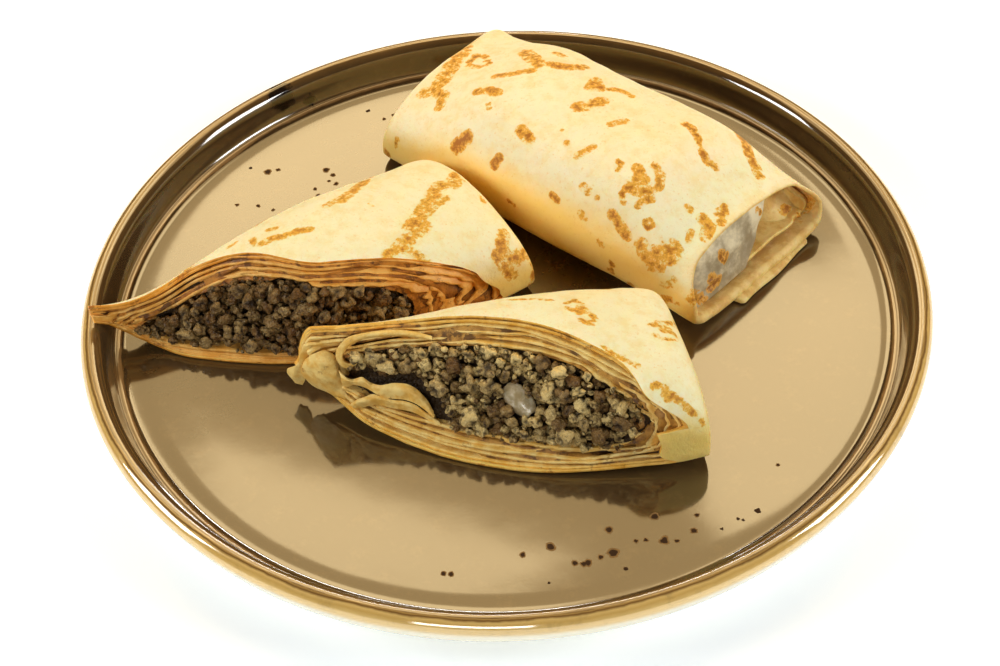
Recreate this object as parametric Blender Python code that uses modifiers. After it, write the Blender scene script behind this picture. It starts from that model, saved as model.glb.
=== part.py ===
"""A stoneware plate with filled crepes: one whole roll and a second one cut in two along its diagonal.

Metres, +Z up. The origin is the centre of the plate's foot, on the table. Run it with
blender --background --python part.py, or from Blender's text editor.
"""
import math
import random

import bmesh
import bpy
from mathutils import Matrix, Vector, noise

MM = 0.001

# Plate: radii and heights of the turned profile
PLATE_RADIUS = 135 * MM
PLATE_HEIGHT = 20 * MM
PLATE_STEPS = 64
FLOOR_TOP = 8 * MM
FLOOR_RADIUS = 117 * MM
COVE_RADIUS = 125 * MM
LIP_INNER_RADIUS = 128 * MM
LIP_INNER_TOP = 16.5 * MM
LIP_WIDEST = 17 * MM
BELLY_RADIUS = 133.2 * MM
BELLY_HEIGHT = 10.5 * MM
UNDERSIDE_RADIUS = 112 * MM
UNDERSIDE_TOP = 3.2 * MM
FOOT_OUTER = 97 * MM
FOOT_INNER = 91 * MM
FOOT_RECESS = 2.4 * MM

# Crepe sheets and the gap that keeps touching pieces apart
GAP = 0.35 * MM
REST = FLOOR_TOP + GAP
WRAP_THICKNESS = 7 * MM
AROUND = 40

# Minced filling
CRUMB_RADIUS = 2.9 * MM
CRUMB_SPREAD = 0.22
CRUMB_SPACING = 1.5
CRUMB_SINK = 0.25
CRUMB_MARGIN = 1.0 * MM
FIRST_CRUMB = 25 * MM
FACE_DEPTH = 1.2 * MM

# The slice of onion that lies open on the front half's cut
ONION_PLACE = (-5 * MM, 17 * MM)
ONION_LENGTH = 11 * MM
ONION_WIDTH = 7 * MM
ONION_THICKNESS = 0.9 * MM
ONION_CURL = 1.5 * MM
ONION_TURN = -38

# Finish: base colour, roughness, metallic
GLAZE = ((0.36, 0.29, 0.19, 1), 0.18, 0.0)
CREPE_SKIN = ((0.88, 0.74, 0.45, 1), 0.55, 0.0)
MINCE = ((0.17, 0.11, 0.06, 1), 0.5, 0.0)
ONION = ((0.75, 0.68, 0.52, 1), 0.25, 0.0)


class Roll:
    """A flattened crepe roll lying on the plate: its axis runs from `start` along `heading`."""

    def __init__(self, start, heading, length, width, height, square=0.8, rise=0.0, seed=0):
        self.start = Vector((start[0], start[1], 0))
        self.axis = Vector((math.cos(heading), math.sin(heading), 0))
        self.side = Vector((-self.axis.y, self.axis.x, 0))
        self.length = length
        self.half_width = width / 2
        self.height = height
        self.square = square
        self.rise = rise
        self.seed = seed

    def swell(self, p):
        """Shares of full width and height at the distance p along the axis."""
        return 1.0, 1.0

    def section(self, angle, p, inset):
        """Across and up from the roll's bottom line, on a section that is flat underneath."""
        wide, tall = self.swell(p)
        height = self.height * tall
        middle = MIDDLE * height
        half = max(self.half_width * wide - inset, 0.0)
        if math.sin(angle) >= 0:
            across = half * power(math.cos(angle), self.square)
            up = middle + max(height - middle - inset, 0.0) * power(math.sin(angle), self.square)
        else:
            across = half * power(math.cos(angle), 0.42)
            up = middle + max(middle - inset, 0.0) * power(math.sin(angle), 0.55)
        return across, up

    def place(self, across, up, p):
        """The point in the plate's frame, raised where the roll lies up on the plate's rim."""
        point = self.start + self.axis * p + self.side * across
        reach = max(math.hypot(point.x, point.y) - LIFT_START, 0.0)
        raised = LIFT * reach ** 2 + self.rise * max(1 - p / RISE_REACH, 0.0) ** 2
        point.z = REST + up + raised * (1 - 0.3 * up / self.height)
        return point

    def surface(self, angle, p, inset=0.0):
        across, up = self.section(angle, p, inset)
        point = self.place(across, up, p)
        out = self.side * math.cos(angle) + Vector((0, 0, max(math.sin(angle), 0.0)))
        dent = noise.noise(point * DENT_SCALE + Vector((self.seed, 0, 0)))
        return point + out * (dent * DENT_DEPTH)


LIFT_START = 104 * MM
LIFT = 17.0
RISE_REACH = 44 * MM
MIDDLE = 0.31
DENT_SCALE = 34
DENT_DEPTH = 1.3 * MM


def power(value, exponent):
    return math.copysign(abs(value) ** exponent, value)


def smooth(low, high, value):
    t = min(max((value - low) / (high - low), 0.0), 1.0)
    return t * t * (3 - 2 * t)


def rounded(distance, reach):
    """A share that rises from 0 at the end of a roll to 1 at `reach` from it, as a rounded fold."""
    t = 1 - min(max(distance / reach, 0.0), 1.0)
    return max(1 - t ** 2.6, 0.0) ** (1 / 2.6)


class WholeRoll(Roll):
    """The uncut crepe: shut and flattened at its start, open at its far end."""

    SHUT_REACH = 8 * MM
    TAPER_REACH = 48 * MM

    def swell(self, p):
        shut = rounded(p, self.SHUT_REACH)
        tall = 0.66 + 0.34 * smooth(0, self.TAPER_REACH, p)
        tall -= 0.36 * smooth(self.length - 0.75 * self.TAPER_REACH, self.length, p)
        wide = 0.97 + 0.03 * smooth(0, self.TAPER_REACH, p)
        wide -= 0.04 * smooth(self.length - self.TAPER_REACH, self.length, p)
        return wide * (0.90 + 0.10 * shut), tall * (0.35 + 0.65 * shut)


class HalfRoll(Roll):
    """A crepe cut corner to corner: the cut faces the side where `across` is negative."""

    FOLD_REACH = 12 * MM

    def __init__(self, *args, short, leans, bows, tip_tall, end_tall, tip_slant=0.0, **kwargs):
        super().__init__(*args, **kwargs)
        self.tip_slant = tip_slant
        self.leans = leans
        self.bows = bows
        self.tip_tall = tip_tall
        self.end_tall = end_tall
        self.run = Vector((self.length - short, -2 * self.half_width))
        self.normal = Vector((self.run.y, -self.run.x)).normalized()

    def swell(self, p):
        fold = rounded(self.length - p, self.FOLD_REACH)
        tall = self.tip_tall
        tall += (1 - self.tip_tall) * math.sin(math.pi / 2 * min(max(p, 0.0) / (0.6 * self.length), 1.0))
        tall -= (1 - self.end_tall) * smooth(0.62 * self.length, self.length, p)
        return 0.91 + 0.09 * fold, tall * (0.55 + 0.45 * fold)

    def past_cut(self, across, up, p):
        """How far a point lies beyond the leaning, bowed cut; negative inside the half."""
        rel = Vector((p, across - self.half_width))
        share = min(max(rel.dot(self.run) / self.run.length_squared, 0.0), 1.0)
        hump = 4 * share * (1 - share)
        later = smooth(0.15, 0.55, share)
        bow = blend(self.bows[0], self.bows[1], later) * hump
        lean = blend(self.leans[0], self.leans[1], later) * hump * smooth(0, 0.22, share)
        middle = 0.45 * self.height * self.swell(p)[1]
        return rel.dot(self.normal) - bow + lean * (up - middle)

    def cut(self, angle, inset, proud=0.0):
        """Distance along the axis at which the cut meets this line of the roll."""
        high = self.length - 3 * MM
        low = high
        first = self.tip_slant * max(math.sin(angle), 0.0)
        while low > first and self.past_cut(*self.section(angle, low, inset), low) < proud:
            high = low
            low -= 4 * MM
        if low <= first:
            return first
        for _ in range(18):
            middle = (low + high) / 2
            if self.past_cut(*self.section(angle, middle, inset), middle) < proud:
                high = middle
            else:
                low = middle
        return high

    def out(self):
        """The level direction in which the cut faces."""
        return self.axis * self.normal.x + self.side * self.normal.y


def material(name, finish):
    colour, roughness, metallic = finish
    made = bpy.data.materials.new(name)
    made.use_nodes = True
    shader = made.node_tree.nodes["Principled BSDF"]
    shader.inputs["Base Color"].default_value = colour
    shader.inputs["Roughness"].default_value = roughness
    shader.inputs["Metallic"].default_value = metallic
    return made


def add_object(name, mesh, finish, collection):
    made = bpy.data.objects.new(name, mesh)
    mesh.materials.append(finish)
    collection.objects.link(made)
    return made


def loft(rings, first, last):
    """A closed bmesh through rings of equal count, shut by a fan at each end."""
    bm = bmesh.new()
    loops = [[bm.verts.new(point) for point in ring] for ring in rings]
    count = len(rings[0])
    for near, far in zip(loops, loops[1:]):
        for i in range(count):
            j = (i + 1) % count
            bm.faces.new((near[i], near[j], far[j], far[i]))
    for centre, loop in ((first, loops[0]), (last, loops[-1])):
        pole = bm.verts.new(centre)
        for i in range(count):
            bm.faces.new((loop[i], loop[(i + 1) % count], pole))
    bmesh.ops.recalc_face_normals(bm, faces=bm.faces)
    return bm


def to_mesh(bm, name):
    mesh = bpy.data.meshes.new(name)
    bm.to_mesh(mesh)
    bm.free()
    mesh.shade_smooth()
    mesh.set_sharp_from_angle(angle=math.radians(50))
    return mesh


def arc(centre, radii, start, end, steps):
    """Points (radius, height) along an elliptical arc, in degrees."""
    found = []
    for i in range(steps + 1):
        turn = math.radians(start + (end - start) * i / steps)
        found.append((centre[0] + radii[0] * math.cos(turn), centre[1] + radii[1] * math.sin(turn)))
    return found


def plate_profile():
    """From the floor's centre out over the lip and back under to the foot's centre."""
    lip_middle = (LIP_INNER_RADIUS + PLATE_RADIUS) / 2
    lip_reach = (PLATE_RADIUS - LIP_INNER_RADIUS) / 2
    cove = (COVE_RADIUS, FLOOR_TOP + 1.8 * MM)
    outline = [(0, FLOOR_TOP), (0.5 * FLOOR_RADIUS, FLOOR_TOP), (FLOOR_RADIUS, FLOOR_TOP)]
    outline += [(COVE_RADIUS - 4 * MM, FLOOR_TOP + 0.6 * MM), cove]
    outline += [(COVE_RADIUS + 2.1 * MM, FLOOR_TOP + 4.4 * MM)]
    outline += arc((lip_middle, LIP_WIDEST), (lip_reach, PLATE_HEIGHT - LIP_WIDEST), 170, 0, 6)
    outline += [(PLATE_RADIUS - 0.6 * MM, 14 * MM), (BELLY_RADIUS, BELLY_HEIGHT)]
    outline += arc((UNDERSIDE_RADIUS, BELLY_HEIGHT),
                   (BELLY_RADIUS - UNDERSIDE_RADIUS, BELLY_HEIGHT - UNDERSIDE_TOP), -25, -90, 3)
    outline += [(FOOT_OUTER + 1 * MM, UNDERSIDE_TOP - 0.4 * MM), (FOOT_OUTER, 0), (FOOT_INNER, 0)]
    outline += [(FOOT_INNER - 1 * MM, FOOT_RECESS), (0.4 * FOOT_INNER, FOOT_RECESS), (0, FOOT_RECESS)]
    return outline


def make_plate(collection):
    bm = bmesh.new()
    verts = [bm.verts.new((radius, 0, height)) for radius, height in plate_profile()]
    for a, b in zip(verts, verts[1:]):
        bm.edges.new((a, b))
    mesh = bpy.data.meshes.new("plate")
    bm.to_mesh(mesh)
    bm.free()
    plate = add_object("plate", mesh, material("glaze", GLAZE), collection)
    turn = plate.modifiers.new("turn", "SCREW")
    turn.angle = 2 * math.pi
    turn.steps = turn.render_steps = PLATE_STEPS
    turn.use_merge_vertices = True
    turn.merge_threshold = 0.00001
    turn.use_smooth_shade = True
    return plate


def angles(count):
    return [2 * math.pi * i / count for i in range(count)]


def centre_of(ring):
    return sum(ring, Vector()) / len(ring)


WHOLE = WholeRoll((-0.0196, 0.1007), math.radians(-42.9), 137 * MM, 69 * MM, 38 * MM, seed=3)
END_SKEW = 0.05
END_LIP = 3.2 * MM
END_DEPTH = 8 * MM
END_POCKET = 5.5 * MM


def skewed(point, p):
    """Both ends stand a little askew: the far side reaches further out than the near one."""
    across = (point - WHOLE.start).dot(WHOLE.side)
    share = END_SKEW * (smooth(0.7, 1, p / WHOLE.length) - smooth(0.3, 0, p / WHOLE.length))
    return point + WHOLE.axis * (share * across)


def whole_ring(p, inset=0.0):
    return [skewed(WHOLE.surface(a, p, inset), p) for a in angles(AROUND)]


def make_whole(collection, finish):
    """The uncut roll: a blind solid whose open end has the outer fold, a groove and the tuck."""
    length = WHOLE.length
    stations = [0.6 * MM, 2.5 * MM, 6 * MM, 12 * MM, 22 * MM]
    stations += [length * share for share in (0.28, 0.4, 0.52, 0.64, 0.76, 0.86, 0.94)]
    rings = [whole_ring(p) for p in stations]
    # inset and set-back of each ring over the rolled lip, down the groove and over the tuck
    end = [(0.3 * MM, 1.4 * MM), (1.4 * MM, 0), (END_LIP - 0.6 * MM, 0.6 * MM), (END_LIP, 2.2 * MM),
           (END_LIP + 0.4 * MM, END_DEPTH), (END_POCKET, END_DEPTH), (END_POCKET + 0.8 * MM, 4.5 * MM),
           (END_POCKET + 2.4 * MM, 3.2 * MM)]
    for inset, back in end:
        rings.append(whole_ring(length - back, inset))
    first = WHOLE.place(0, 0.42 * WHOLE.height * 0.6, 0)
    last = centre_of(rings[-1]) + WHOLE.axis * (0.6 * MM)
    return add_object("whole_crepe", to_mesh(loft(rings, first, last), "whole_crepe"), finish, collection)


LEFT = HalfRoll((-0.1130, -0.0370), math.radians(33.0), 127 * MM, 65 * MM, 33.5 * MM, square=0.92,
                short=5 * MM, leans=(1.3, 0.35), bows=(0, 13 * MM), tip_tall=0.5, end_tall=0.82, seed=11)
FRONT = HalfRoll((-0.0611, -0.0640), math.radians(10.0), 116 * MM, 60 * MM, 35 * MM, square=0.68,
                 rise=9 * MM, tip_slant=7 * MM, short=5 * MM, leans=(0.82, 0.82), bows=(1.5 * MM, 1.5 * MM),
                 tip_tall=0.88, end_tall=0.86, seed=23)
LAYERS = 4
LAYER_RELIEF = 0.8 * MM
CAVITY_END = 16 * MM
CORE_GAP = 1.25 * MM
SEAT = 0.55 * MM


def wrap_rings(roll):
    """Rings over the outside to the cut, across the layered edge, and down inside to the fold."""
    turn = angles(AROUND)
    rings = []
    for share in (0.0, 0.02, 0.05, 0.10, 0.18, 0.32, 0.48, 0.66, 0.84):
        rings.append([roll.surface(a, blend(roll.length - 0.5 * MM, roll.cut(a, 0), share)) for a in turn])
    steps = 2 * LAYERS
    for i in range(steps + 1):
        inset = WRAP_THICKNESS * i / steps
        proud = LAYER_RELIEF * (0.5 if i % 2 == 0 else -0.5)
        rings.append([roll.surface(a, roll.cut(a, inset, proud), inset) for a in turn])
    return rings


def cavity_rings(roll, inset, end_gap):
    """Rings down the hollow that the filling takes, from the cut to the folded end."""
    turn = angles(AROUND)
    depth = roll.length - CAVITY_END + end_gap
    rings = []
    for share in (0.1, 0.3, 0.6, 0.9, 1.0):
        narrow = inset + (3 * MM if share == 1.0 else 0.0)
        rings.append([roll.surface(a, max(blend(roll.cut(a, inset), depth, share),
                                          roll.cut(a, inset)), narrow) for a in turn])
    return rings


def blend(a, b, share):
    return a + (b - a) * share


def make_wrap(name, roll, collection, finish):
    rings = wrap_rings(roll)
    first = centre_of(rings[0]) + roll.axis * (0.5 * MM)
    inner = cavity_rings(roll, WRAP_THICKNESS, 0)
    rings += inner
    last = centre_of(inner[-1])
    return add_object(name, to_mesh(loft(rings, first, last), name), finish, collection)


def make_filling(name, roll, crumbs, seed, collection, finish, keep_clear=()):
    """A core in the wrap's hollow, with crumbs of mince fused on where the cut shows them."""
    inset = WRAP_THICKNESS + CORE_GAP
    turn = angles(AROUND)
    rings = list(reversed(cavity_rings(roll, inset, -CORE_GAP)))
    rings.append([roll.surface(a, roll.cut(a, inset, -FACE_DEPTH), inset) for a in turn])
    inner = [roll.surface(a, roll.cut(a, inset + 5 * MM, -FACE_DEPTH), inset + 5 * MM) for a in turn]
    rings.append(inner)
    solid = loft(rings, centre_of(rings[0]), centre_of(inner))
    bmesh.ops.translate(solid, verts=solid.verts, vec=(0, 0, SEAT))
    core = add_object(name, to_mesh(solid, name), finish, collection)
    pieces = bpy.data.collections.new(name + "_crumbs")
    bpy.context.scene.collection.children.link(pieces)
    for index, (centre, radius) in enumerate(crumb_places(roll, crumbs, seed, keep_clear)):
        add_crumb(centre, radius, seed * 1000 + index, pieces)
    union = core.modifiers.new("crumbs", "BOOLEAN")
    union.operand_type = "COLLECTION"
    union.operation = "UNION"
    union.collection = pieces
    union.solver = "MANIFOLD"
    fused = bpy.data.meshes.new_from_object(core.evaluated_get(bpy.context.evaluated_depsgraph_get()))
    core.modifiers.clear()
    core.data = fused
    for piece in list(pieces.objects):
        bpy.data.objects.remove(piece)
    bpy.data.collections.remove(pieces)
    return core


def crumb_places(roll, count, seed, keep_clear):
    """Centres and radii on the cut face, largest first, each bedded among those before it."""
    draw = random.Random(seed)
    radii = [CRUMB_RADIUS * (1 + CRUMB_SPREAD * draw.uniform(-1, 1)) for _ in range(count)]
    found = []
    for radius in sorted(radii, reverse=True):
        for _ in range(80):
            edge = WRAP_THICKNESS + CRUMB_MARGIN + radius
            across = draw.uniform(-1, 1) * (roll.half_width - edge)
            up = draw.uniform(edge, roll.height - edge)
            p = face_distance(roll, across, up)
            point = roll.place(across, up, p) - roll.out() * (FACE_DEPTH + CRUMB_SINK * radius)
            apart = CRUMB_SPACING / 2
            clear = all((point - other).length > apart * (radius + size) for other, size in found)
            clear = clear and all((point - spot).length > radius + reach for spot, reach in keep_clear)
            if clear and inside_section(roll, across, up, p, edge):
                found.append((point, radius))
                break
    return found


def inside_section(roll, across, up, p, inset):
    """True where a point lies under the arch of the roll's inset section at its own place."""
    for step in range(13):
        angle = math.pi * step / 12
        wall, height = roll.section(angle, p, inset)
        lean_out = math.cos(angle) * (across - wall) + math.sin(angle) * (up - height)
        if lean_out > 0:
            return False
    return FIRST_CRUMB < p < roll.length - CAVITY_END


def face_distance(roll, across, up):
    """Distance along the axis at which the cut passes this place in the section."""
    low, high = 0.0, roll.length
    for _ in range(20):
        middle = (low + high) / 2
        if roll.past_cut(across, up, middle) < 0:
            high = middle
        else:
            low = middle
    return high


def add_crumb(centre, radius, seed, collection):
    bm = bmesh.new()
    bmesh.ops.create_icosphere(bm, subdivisions=1, radius=radius)
    draw = random.Random(seed)
    for vert in bm.verts:
        vert.co *= draw.uniform(0.8, 1.05)
    turn = Matrix.Rotation(draw.uniform(0, math.pi), 3, (draw.random(), draw.random(), 0.4))
    bmesh.ops.rotate(bm, verts=bm.verts, matrix=turn)
    bmesh.ops.translate(bm, verts=bm.verts, vec=centre)
    mesh = bpy.data.meshes.new("crumb")
    bm.to_mesh(mesh)
    bm.free()
    collection.objects.link(bpy.data.objects.new("crumb", mesh))


def onion_frame():
    """Where the slice of onion lies: its middle, and its own long, short and outward directions."""
    across, up = ONION_PLACE
    middle = FRONT.place(across, up, face_distance(FRONT, across, up))
    outward = (FRONT.out() + Vector((0, 0, FRONT.leans[1]))).normalized()
    level = Vector((0, 0, 1)).cross(outward).normalized()
    long = Matrix.Rotation(math.radians(ONION_TURN), 3, outward) @ level
    return middle, long, outward.cross(long), outward


def onion_spots():
    """Places along the slice that crumbs keep clear of, each with the reach to leave round it."""
    middle, long = onion_frame()[:2]
    reach = 0.5 * ONION_WIDTH + 2 * GAP
    return [(middle + long * (ONION_LENGTH * step), reach) for step in (-0.26, 0, 0.26)]


def make_onion(collection):
    """A thin petal cut from an onion's layer, curled across its width."""
    middle, long, short, outward = onion_frame()
    bm = bmesh.new()
    bmesh.ops.create_grid(bm, x_segments=8, y_segments=4, size=1)
    for vert in bm.verts:
        x, y = vert.co.x, vert.co.y
        width = 0.5 * ONION_WIDTH * (0.25 + 0.75 * math.sqrt(max(1 - x * x, 0.0)))
        rise = GAP + ONION_CURL * (1 - y * y) * (1 - 0.5 * x * x)
        vert.co = middle + long * (0.5 * ONION_LENGTH * x) + short * (width * y) + outward * rise
    mesh = to_mesh(bm, "onion_piece")
    onion = add_object("onion_piece", mesh, material("onion", ONION), collection)
    thick = onion.modifiers.new("thickness", "SOLIDIFY")
    thick.thickness = ONION_THICKNESS
    thick.offset = 0
    return onion


def main():
    for old in list(bpy.data.objects):
        bpy.data.objects.remove(old)
    collection = bpy.data.collections.new("folded_crepes_on_plate")
    bpy.context.scene.collection.children.link(collection)
    skin = material("crepe_skin", CREPE_SKIN)
    mince = material("mince", MINCE)
    make_plate(collection)
    make_whole(collection, skin)
    make_wrap("left_half_wrap", LEFT, collection, skin)
    make_filling("left_half_filling", LEFT, 100, 5, collection, mince)
    make_wrap("front_half_wrap", FRONT, collection, skin)
    make_filling("front_half_filling", FRONT, 130, 9, collection, mince, onion_spots())
    make_onion(collection)


main()
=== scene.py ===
import math
import random

import bmesh
import bpy
from mathutils import Matrix, Vector, kdtree, noise
from mathutils.bvhtree import BVHTree


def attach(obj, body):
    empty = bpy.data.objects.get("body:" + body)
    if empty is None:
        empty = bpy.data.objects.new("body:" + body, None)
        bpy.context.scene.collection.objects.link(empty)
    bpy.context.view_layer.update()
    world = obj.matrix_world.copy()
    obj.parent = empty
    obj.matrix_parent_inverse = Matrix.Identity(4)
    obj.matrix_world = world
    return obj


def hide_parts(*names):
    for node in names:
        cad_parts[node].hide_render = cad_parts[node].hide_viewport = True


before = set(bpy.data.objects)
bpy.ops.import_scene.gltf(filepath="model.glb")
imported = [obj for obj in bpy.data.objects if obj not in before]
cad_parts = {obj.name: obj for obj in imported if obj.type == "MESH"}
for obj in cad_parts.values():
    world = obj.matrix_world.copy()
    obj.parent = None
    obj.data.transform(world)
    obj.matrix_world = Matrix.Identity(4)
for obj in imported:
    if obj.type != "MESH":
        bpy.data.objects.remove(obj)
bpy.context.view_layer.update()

# The view
# The plate is looked down on from the front at 45 degrees, with a moderate telephoto lens that
# is rolled a little to the left, so the far rim rises towards the right.
MM = 0.001
VIEW_TILT = math.radians(45.412)
VIEW_ROLL = math.radians(-3.148)
VIEW_DISTANCE = 585.99 * MM
VIEW_MIDDLE = Vector((-2.11 * MM, -5.04 * MM, 0))
VIEW_LENS, SENSOR_WIDE = 64.8, 36
PIXELS_WIDE, PIXELS_HIGH = 1000, 666

ahead = Vector((0, math.cos(VIEW_TILT), -math.sin(VIEW_TILT)))
above = Vector((0, math.sin(VIEW_TILT), math.cos(VIEW_TILT)))
view_right = Vector((1, 0, 0)) * math.cos(VIEW_ROLL) + above * math.sin(VIEW_ROLL)
view_up = above * math.cos(VIEW_ROLL) - Vector((1, 0, 0)) * math.sin(VIEW_ROLL)
eye = VIEW_MIDDLE - ahead * VIEW_DISTANCE
camera = bpy.data.objects.new("camera", bpy.data.cameras.new("camera"))
bpy.context.scene.collection.objects.link(camera)
bpy.context.scene.camera = camera
camera.data.lens = VIEW_LENS
camera.data.sensor_width = SENSOR_WIDE
camera.data.clip_start = 0.01
camera.matrix_world = Matrix.Translation(eye) @ Matrix((view_right, view_up, -ahead)).transposed().to_4x4()


def sight(x, y):
    """The direction in which the camera sees a place in its 1000 x 666 picture."""
    reach = PIXELS_WIDE * VIEW_LENS / SENSOR_WIDE
    aside = view_right * ((x - PIXELS_WIDE / 2) / reach) - view_up * ((y - PIXELS_HIGH / 2) / reach)
    return (ahead + aside).normalized()


# Light and floor
# A bright ceiling behind the plate that the glaze mirrors, with dim beams between its panels, soft
# windows in front and on both sides, a small far one, and a dim warm room. The table is plain and white.
WINDOW_AIM = (0, 0, 0.02)
WINDOWS = [("left_window", (-0.95, -0.05, 0.50), (0.4, 0.4), 5.6, (0.99, 1, 0.99)),
           ("right_window", (0.95, -0.20, 0.50), (0.4, 0.4), 6.2, (0.99, 1, 0.99)),
           ("front_window", (-0.20, -1.10, 0.45), (0.5, 0.3), 4.4, (1, 1, 0.96)),
           ("far_window", (0.05, 1.15, 0.62), (0.12, 0.05), 0.5, (1, 0.98, 0.95))]
CEILING_BRIGHT, CEILING_DIM = 2.6, 2.2
BRIGHT_COLOUR, DIM_COLOUR = (1, 0.82, 0.50), (1, 0.72, 0.34)
BRIGHT_HEIGHT, DIM_HEIGHT = 1.0, 1.02
# Each panel's middle, its width and depth, its turn in degrees and its glow
CEILING = [((-0.215, 0.647), (0.534, 0.26), -26.4, CEILING_BRIGHT),
           ((0.392, 0.80), (0.41, 0.50), 0, CEILING_BRIGHT),
           ((-0.30, 1.30), (0.62, 0.55), 8, CEILING_BRIGHT),
           ((0.30, 1.42), (0.46, 0.50), -5, CEILING_BRIGHT),
           ((0.0, 1.02), (1.7, 1.3), 0, CEILING_DIM)]
ROOM_COLOUR, ROOM_GLOW = (1.0, 0.86, 0.64, 1), 0.03
TABLE_HALF = 3


def lamp(name, place, aim, size, watts, colour):
    data = bpy.data.lights.new(name, "AREA")
    data.shape = "RECTANGLE"
    data.size, data.size_y = size
    data.energy = watts
    data.color = colour
    made = bpy.data.objects.new(name, data)
    bpy.context.scene.collection.objects.link(made)
    toward = (Vector(aim) - Vector(place)).normalized()
    made.matrix_world = Matrix.Translation(place) @ toward.to_track_quat("-Z", "Y").to_matrix().to_4x4()
    return made


for name, place, size, watts, colour in WINDOWS:
    lamp(name, place, WINDOW_AIM, size, watts, colour)
for number, ((x, y), (wide, deep), turn, glow) in enumerate(CEILING):
    bright = glow == CEILING_BRIGHT
    height = BRIGHT_HEIGHT if bright else DIM_HEIGHT
    watts = glow * math.pi * wide * deep
    colour = BRIGHT_COLOUR if bright else DIM_COLOUR
    panel = lamp(f"ceiling_panel_{number}", (x, y, height), (x, y, 0), (wide, deep), watts, colour)
    panel.rotation_euler = (0, 0, math.radians(turn))

world = bpy.data.worlds.new("room")
bpy.context.scene.world = world
world.use_nodes = True
world.node_tree.nodes["Background"].inputs["Color"].default_value = ROOM_COLOUR
world.node_tree.nodes["Background"].inputs["Strength"].default_value = ROOM_GLOW

bpy.context.scene.view_settings.view_transform = "Standard"
bpy.context.scene.view_settings.look = "None"
bpy.context.scene.view_settings.exposure = 0.0
bpy.context.scene.view_settings.gamma = 0.88

floor_bm = bmesh.new()
bmesh.ops.create_grid(floor_bm, x_segments=1, y_segments=1, size=TABLE_HALF)
floor_mesh = bpy.data.meshes.new("table_top")
floor_bm.to_mesh(floor_mesh)
floor_bm.free()
table_white = bpy.data.materials.new("table_white")
table_white.use_nodes = True
table_shader = table_white.node_tree.nodes["Principled BSDF"]
table_shader.inputs["Base Color"].default_value = (0.88, 0.93, 0.98, 1)
table_shader.inputs["Roughness"].default_value = 0.7
table_shader.inputs["Emission Color"].default_value = (0.85, 0.90, 1.0, 1)
table_shader.inputs["Emission Strength"].default_value = 0.35
floor_mesh.materials.append(table_white)
table_top = bpy.data.objects.new("table_top", floor_mesh)
bpy.context.scene.collection.objects.link(table_top)

# The plate
# A round stoneware plate, thrown and turned: flat floor, a fine raised ring where the floor meets
# the wall, a rounded lip, and a foot ring. It is dipped in a glossy taupe glaze that breaks to
# golden brown on the lip and to cream outside, with iron specks that bled into the glaze.
PLATE_PROFILE = [
    (0, 8.0), (40, 8.0), (80, 8.0), (105, 8.0), (115, 8.05), (119, 8.2), (121.5, 8.5), (122.9, 8.8),
    (123.5, 9.3), (124.0, 9.75), (124.5, 9.95), (125.0, 9.85), (125.4, 9.6), (125.8, 9.9), (126.4, 11.0),
    (127.0, 12.8), (127.5, 14.4), (127.9, 16.0), (128.5, 17.6), (129.4, 18.9), (130.5, 19.7),
    (131.6, 20.0), (132.8, 19.75), (133.8, 19.1), (134.6, 18.2), (135.0, 17.1), (134.95, 16.0),
    (134.6, 14.6), (134.1, 12.8), (133.2, 10.5), (131.6, 8.5), (129.0, 6.6), (125.5, 5.1), (121, 4.1),
    (114, 3.4), (105, 3.0), (99, 2.7), (97.6, 2.1), (97.1, 1.0), (96.6, 0.25), (95.8, 0.0), (92.4, 0.0),
    (91.4, 0.3), (90.9, 1.2), (90.2, 2.1), (88, 2.4), (60, 2.4), (0, 2.4),
]
PLATE_STEPS = 256


def new_piece(name, bm, finish, node):
    """An object from a bmesh, at the origin, riding on the one body and replacing its solid."""
    mesh = bpy.data.meshes.new(name)
    bm.to_mesh(mesh)
    bm.free()
    mesh.shade_smooth()
    for each in finish if isinstance(finish, (list, tuple)) else [finish]:
        mesh.materials.append(each)
    piece = bpy.data.objects.new(name, mesh)
    bpy.context.scene.collection.objects.link(piece)
    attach(piece, "root")
    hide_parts(node)
    return piece


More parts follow.
